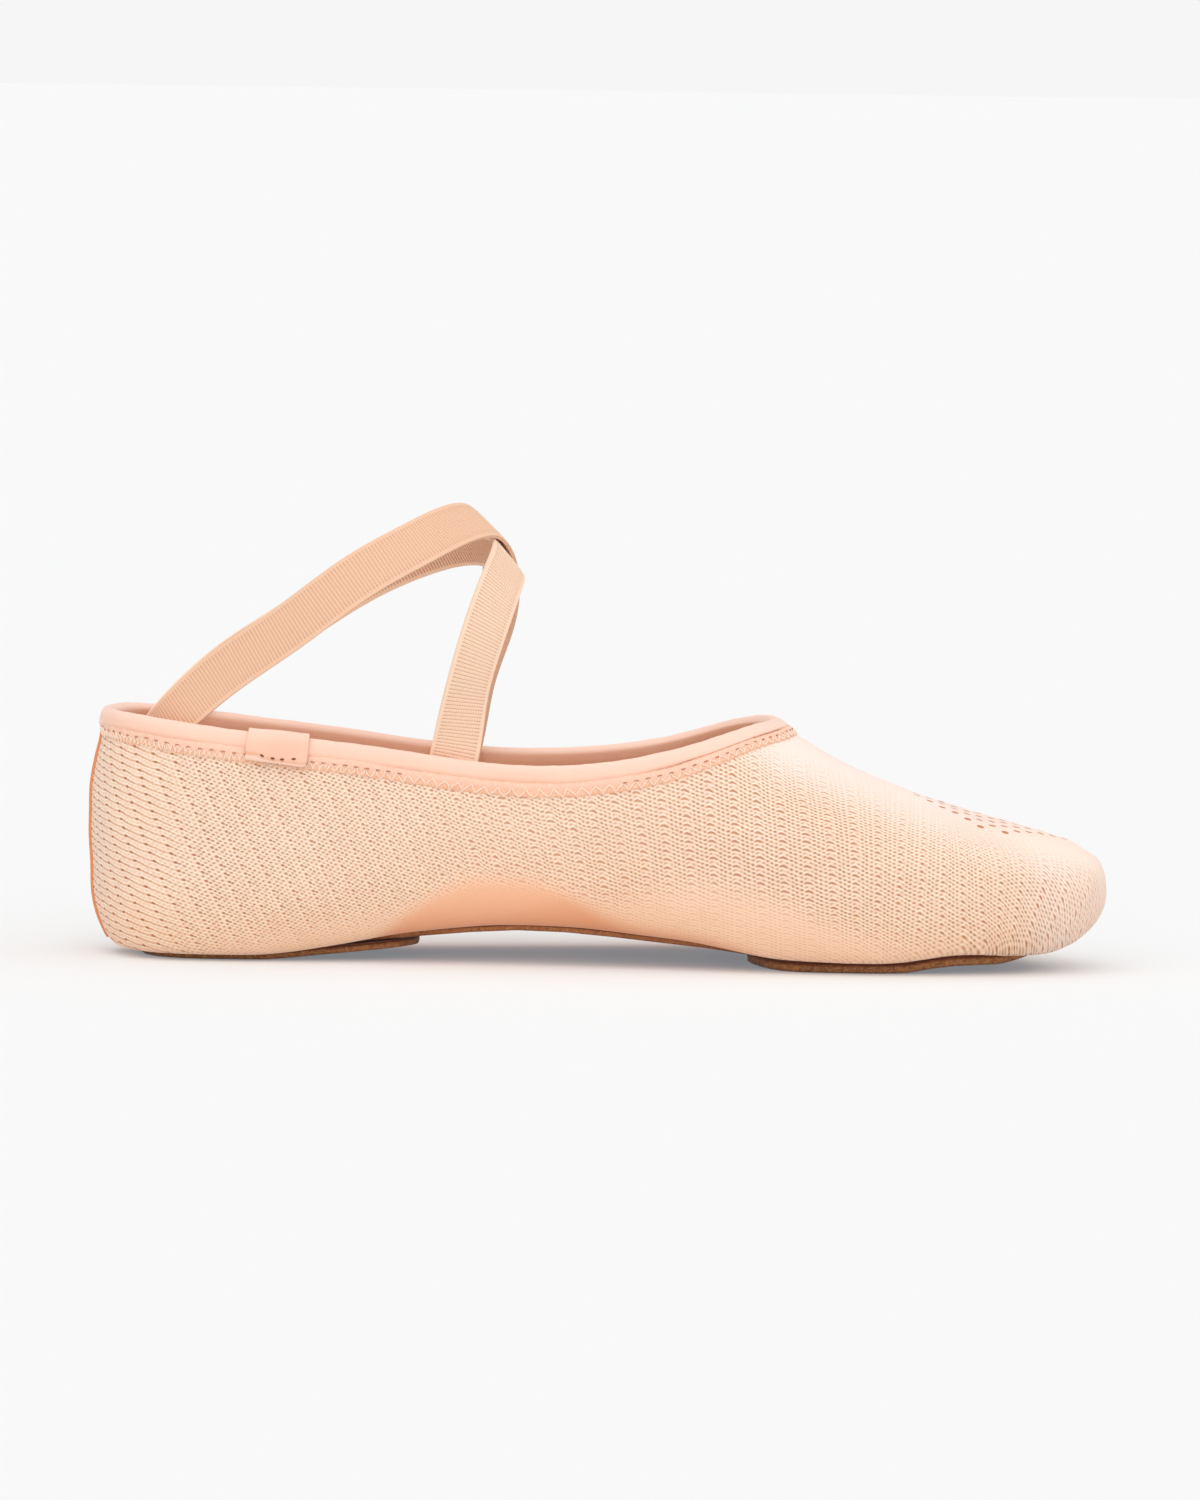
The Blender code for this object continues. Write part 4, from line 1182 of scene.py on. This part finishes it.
def dressElastic(name, nodeName, route, tones):
    place = naturalCurve(np.hstack([np.array(route), elasticFacings(route)]))
    dense, length = evenShares(place, 801, closed=False)
    ribs = int(round(length / elastic["ribPitch"]))
    steps = ribs * elastic["lengthSteps"]
    bpy.ops.object.select_all(action="DESELECT")
    bpy.ops.mesh.primitive_grid_add(x_subdivisions=steps, y_subdivisions=14, size=1.0)
    piece = bpy.context.view_layer.objects.active
    piece.name = name
    flat = readVectors(piece.data.vertices, "co")
    share = flat[:, 0] + 0.5
    across = flat[:, 1] * elastic["width"]
    curveShare = np.interp(share, np.linspace(0.0, 1.0, len(dense)), dense)
    spot = place(curveShare)
    behind = place(np.clip(curveShare - 0.004, 0.0, 1.0))
    ahead = unit((place(np.clip(curveShare + 0.004, 0.0, 1.0)) - behind)[:, :3])
    sideways = unit(np.cross(ahead, spot[:, 3:]))
    outward = np.cross(sideways, ahead)
    inner = 0.5 * elastic["width"] - elastic["selvedge"]
    ribMask = fallOver(inner - 0.25, inner + 0.1, np.abs(across))
    rib = 0.5 + 0.5 * np.cos(2.0 * math.pi * share * ribs)
    lift = (rib * ribMask + 0.35 * (1.0 - ribMask)) * elastic["ribHeight"]
    curl = -0.12 * (np.abs(across) / (0.5 * elastic["width"])) ** 4
    points = spot[:, :3] + sideways * across[:, None] + outward * (lift + curl)[:, None]
    setPoints(piece.data, points)
    setFlatPlaces(piece.data, "elasticPlace", share * ribs, across)
    faceOutward(piece)
    if np.einsum("ij,ij->i", getNormals(piece.data), outward).mean() < 0.0:
        openForEdit(piece)
        bpy.ops.mesh.flip_normals()
        closeEdit()
    applyModifier(piece, "SOLIDIFY", "thickness", thickness=elastic["thickness"] * mm, offset=0.0)
    finishPiece(piece, "elastic", [elasticMaterial(name + "Cloth", tones)], 75, nodeName)
    print(name, "ribs:", ribs, "length:", round(length, 1), "mm, faces:", len(piece.data.polygons))


def elasticMaterial(name, tones):
    beginMaterial(name, roughness=0.75, sheen=0.25, specular=0.25)
    rib, across = flatPlace("elasticPlace")
    groove = absolute(centred(plus(rib, 0.5), 1.0))
    inRibs = minus(1.0, fade(absolute(across), 4.6, 5.0))
    # painted shade in the grooves between the ribs and in the gaps between the cords
    dark = times(fade(groove, 0.3, 0.05), inRibs)
    cords = absolute(centred(across, elastic["cordPitch"]))
    between = times(fade(cords, 0.16, 0.0), inRibs)
    fuzz = noise(objectPlace(), 2600.0, 2.0, 0.6)
    tone = blend(fuzz, *tones)
    tone = blend(times(dark, 0.8), tone, elastic["grooveShadeTone"])
    tone = blend(times(between, 0.25), tone, elastic["cordGapShadeTone"])
    height = minus(times(fuzz, 0.3), times(between, 0.5))
    return finishMaterial(tone, height, 0.1, 0.7, fuzz, 0.65, 0.85)


# one cloth in two copies: a shaded one for the rear elastic and a lit one for the front, as painted light
dressElastic("rearElastic", "rear_elastic", elastic["rearRoute"], elastic["rearShadedTones"])
dressElastic("frontElastic", "front_elastic", elastic["frontRoute"], elastic["frontLitTones"])


# sole: suede pads, arch panel, insole

sole = {
    "cuts": 2,
    "padNap": 0.2,           # how uneven a cut edge is, mm
    "panelNap": 0.08,
    "edgeReach": 1.3,        # how far round a point the heights of the cut edge are looked up, mm
    "tipStart": 93.0,        # the front pad thins to nothing from here to its tip
    "tipEnd": 105.0,
    "tipThinning": 0.75,
    "panelRise": 0.65,       # how far the arch panel's cut edge is turned up over the gap, mm
    # screen colours: light, dark and deepest nap, then the cut edge's fibres, the painted shade of its
    # crease and the painted contact shadow along its foot
    "padTones": ((182, 126, 86), (134, 88, 58), (100, 64, 42)),
    "panelTones": ((190, 130, 90), (156, 102, 68), (120, 74, 48)),
    "edgeFibres": (222, 160, 100),
    "edgeCreaseShade": (90, 42, 30),
    "edgeContactShadow": (72, 50, 36),
}


def suedeMaterial(name, tones):
    light, dark, deep = tones
    beginMaterial(name, roughness=0.95, sheen=0.35, specular=0.15)
    place = objectPlace()
    nap = noise(place, 900.0, 5.0, 0.75)
    fine = noise(place, 3000.0, 3.0, 0.7)
    worn = noise(place, 55.0, 4.0, 0.6)
    crease, foot, edge = zoneValues()[:3]
    tone = blend(fade(nap, 0.35, 0.65), dark, light)
    tone = blend(times(fade(worn, 0.45, 0.75), 0.4), tone, deep)
    tone = blend(times(fade(fine, 0.5, 0.8), 0.35), tone, deep)
    # a cut edge shows golden fibres between painted shade in the crease above, under the upper, and a
    # painted contact shadow along its foot below
    fibres = times(fade(fine, 0.5, 0.68), edge)
    tone = blend(times(fibres, 0.9), tone, sole["edgeFibres"])
    tone = blend(times(crease, 0.9), tone, sole["edgeCreaseShade"])
    tone = blend(times(foot, 0.6), tone, sole["edgeContactShadow"])
    return finishMaterial(tone, plus(nap, times(fine, 0.6)), 0.25, 0.8, nap, 0.85, 1.0)


def roughEdge(points, normals, amount):
    # uneven nap on the cut edges, most where the side faces out
    x, y = points.T[:2]
    sideways = np.clip(1.0 - np.abs(normals[:, 2]), 0.0, 1.0)
    grain = np.sin(x * 2.1 + 1.3 * np.sin(y * 1.7)) + np.sin(x * 0.83 - y * 1.1 + 2.0)
    grain += np.sin(y * 2.6 + x * 0.4)
    return points + normals * (amount * grain / 3.0 * sideways)[:, None]


def edgeHeights(points):
    # the lowest and the highest of the piece close round each point
    plan = points * (1.0, 1.0, 0.0)
    nearest = nearestOf(plan)
    spans = []
    for place in plan:
        heights = points[[found[1] for found in nearest.find_range(place, sole["edgeReach"])], 2]
        spans.append((heights.min(), heights.max()))
    return np.array(spans).T


def dressSolePiece(nodeName, pieceName, slotName, material, amount, thinning=0.0, rise=0.0):
    piece = copyOfNode(nodeName, pieceName)
    applyModifier(piece, "BEVEL", "edges", width=0.3 * mm, segments=2,
                  limit_method="ANGLE", angle_limit=math.radians(40))
    subdivide(piece, sole["cuts"], "SIMPLE")
    points = getPoints(piece.data)
    normals = getNormals(piece.data)
    low, high = edgeHeights(points)
    share = (points[:, 2] - low) / np.maximum(high - low, 0.2)
    sideways = riseOver(0.25, 0.8, 1.0 - np.abs(normals[:, 2]))
    rough = roughEdge(points, normals, amount)
    rough[:, 2] = np.maximum(rough[:, 2], min(points[:, 2].min(), 0.0))
    toTip = riseOver(sole["tipStart"], sole["tipEnd"], points[:, 0])
    rough[:, 2] += thinning * toTip * (high - low) * (1.0 - share)
    rough[:, 2] += rise * sideways * share
    setPoints(piece.data, rough)
    facing = riseOver(0.02, 0.3, 1.0 - np.abs(normals[:, 2]))
    # painted shade in the crease at the top of the cut edge, and a painted contact shadow along its foot
    crease = riseOver(0.55, 0.85, share) * facing
    foot = fallOver(0.0, 0.3, share) * facing
    setZones(piece.data, crease, foot, sideways, sideways)
    finishPiece(piece, slotName, [material], 45, nodeName)


padSuede = suedeMaterial("brownSuede", sole["padTones"])
panelSuede = suedeMaterial("panelSuede", sole["panelTones"])
dressSolePiece("heel_pad", "heelPad", "suede", padSuede, sole["padNap"])
dressSolePiece("forefoot_pad", "forefootPad", "suede", padSuede, sole["padNap"],
               thinning=sole["tipThinning"])
dressSolePiece("arch_panel", "archPanel", "panel", panelSuede, sole["panelNap"],
               rise=sole["panelRise"])
dressSolePiece("insole", "insoleSock", "lining", liningMaterial(), 0.0)
print("sole dressed")


# the floor, the light and the camera

studio = {
    "frameWidth": 283.0,       # mm across the picture at the shoe
    "aim": (0.0, -10.0, 50.0),
    "distance": 2400.0,
    "elevation": 4.0,          # degrees above the floor
    "roll": 0.77,              # the toe lies a little lower in the picture
    "air": 0.54,               # light that comes from all round
    "backdrop": 0.922,         # what the camera sees past the floor
    # how much light the floor gives back and how much of its own, as on a lit table
    "floor": (0.737, 0.709, 0.685, 1.0),
    "floorGlow": (0.153, 0.185, 0.211, 1.0),
    # each wide lamp: the way its light comes from, strength, width in degrees
    "lamps": {
        "keyLamp": ((-0.35, -0.90, 0.95), 0.95, 70.0),
        "topLamp": ((0.10, 0.15, 1.00), 0.80, 80.0),
        "fillLamp": ((0.25, -1.00, 0.25), 0.50, 90.0),
        "toeLamp": ((1.00, -0.20, 0.22), 0.26, 70.0),
    },
}


def dressFloor():
    bpy.ops.object.select_all(action="DESELECT")
    bpy.ops.mesh.primitive_circle_add(vertices=64, radius=40.0, fill_type="NGON")
    floor = bpy.context.view_layer.objects.active
    floor.name = "paleFloor"
    beginMaterial("paleFloor", roughness=0.95, specular=0.0)
    inputs = bench["shader"].inputs
    inputs["Base Color"].default_value = studio["floor"]
    inputs["Emission Color"].default_value = studio["floorGlow"]
    inputs["Emission Strength"].default_value = 1.0
    floor.data.materials.append(bench["material"])


def addLamp(name, direction, strength, width):
    light = bpy.data.lights.new(name, "SUN")
    light.energy = strength
    light.angle = math.radians(width)
    lamp = addObject(name, light)
    lamp.location = Vector(direction).normalized() * 2.0
    lamp.rotation_euler = Vector(direction).to_track_quat("Z", "Y").to_euler()


def dressStudio():
    world = bpy.data.worlds.new("studioAir")
    bpy.context.scene.world = world
    world.use_nodes = True
    tree = world.node_tree
    background = tree.nodes["Background"]
    background.inputs["Color"].default_value = (1.0, 1.0, 1.0, 1.0)
    path = tree.nodes.new("ShaderNodeLightPath")
    level = tree.nodes.new("ShaderNodeMapRange")
    level.inputs["To Min"].default_value = studio["air"]
    level.inputs["To Max"].default_value = studio["backdrop"]
    tree.links.new(path.outputs["Is Camera Ray"], level.inputs["Value"])
    tree.links.new(level.outputs[0], background.inputs["Strength"])
    for name, (direction, strength, width) in studio["lamps"].items():
        addLamp(name, direction, strength, width)
    bpy.context.scene.view_settings.view_transform = "Standard"


def dressCamera():
    camera = bpy.data.cameras.new("studioCamera")
    camera.sensor_fit = "HORIZONTAL"
    camera.sensor_width = 36.0
    camera.lens = 36.0 * studio["distance"] / studio["frameWidth"]
    camera.clip_start = 0.05
    camera.clip_end = 200.0
    holder = addObject("studioCamera", camera)
    rise = math.radians(studio["elevation"])
    roll = math.radians(studio["roll"])
    back = Vector((0.0, -math.cos(rise), math.sin(rise)))
    right = Vector((1.0, 0.0, 0.0))
    up = back.cross(right)
    turned = Matrix.Rotation(roll, 3, back)
    right, up = turned @ right, turned @ up
    place = Vector(studio["aim"]) * mm + back * studio["distance"] * mm
    holder.matrix_world = Matrix((
        (right.x, up.x, back.x, place.x),
        (right.y, up.y, back.y, place.y),
        (right.z, up.z, back.z, place.z),
        (0.0, 0.0, 0.0, 1.0),
    ))
    bpy.context.scene.camera = holder


dressFloor()
dressStudio()
dressCamera()
print("studio ready")
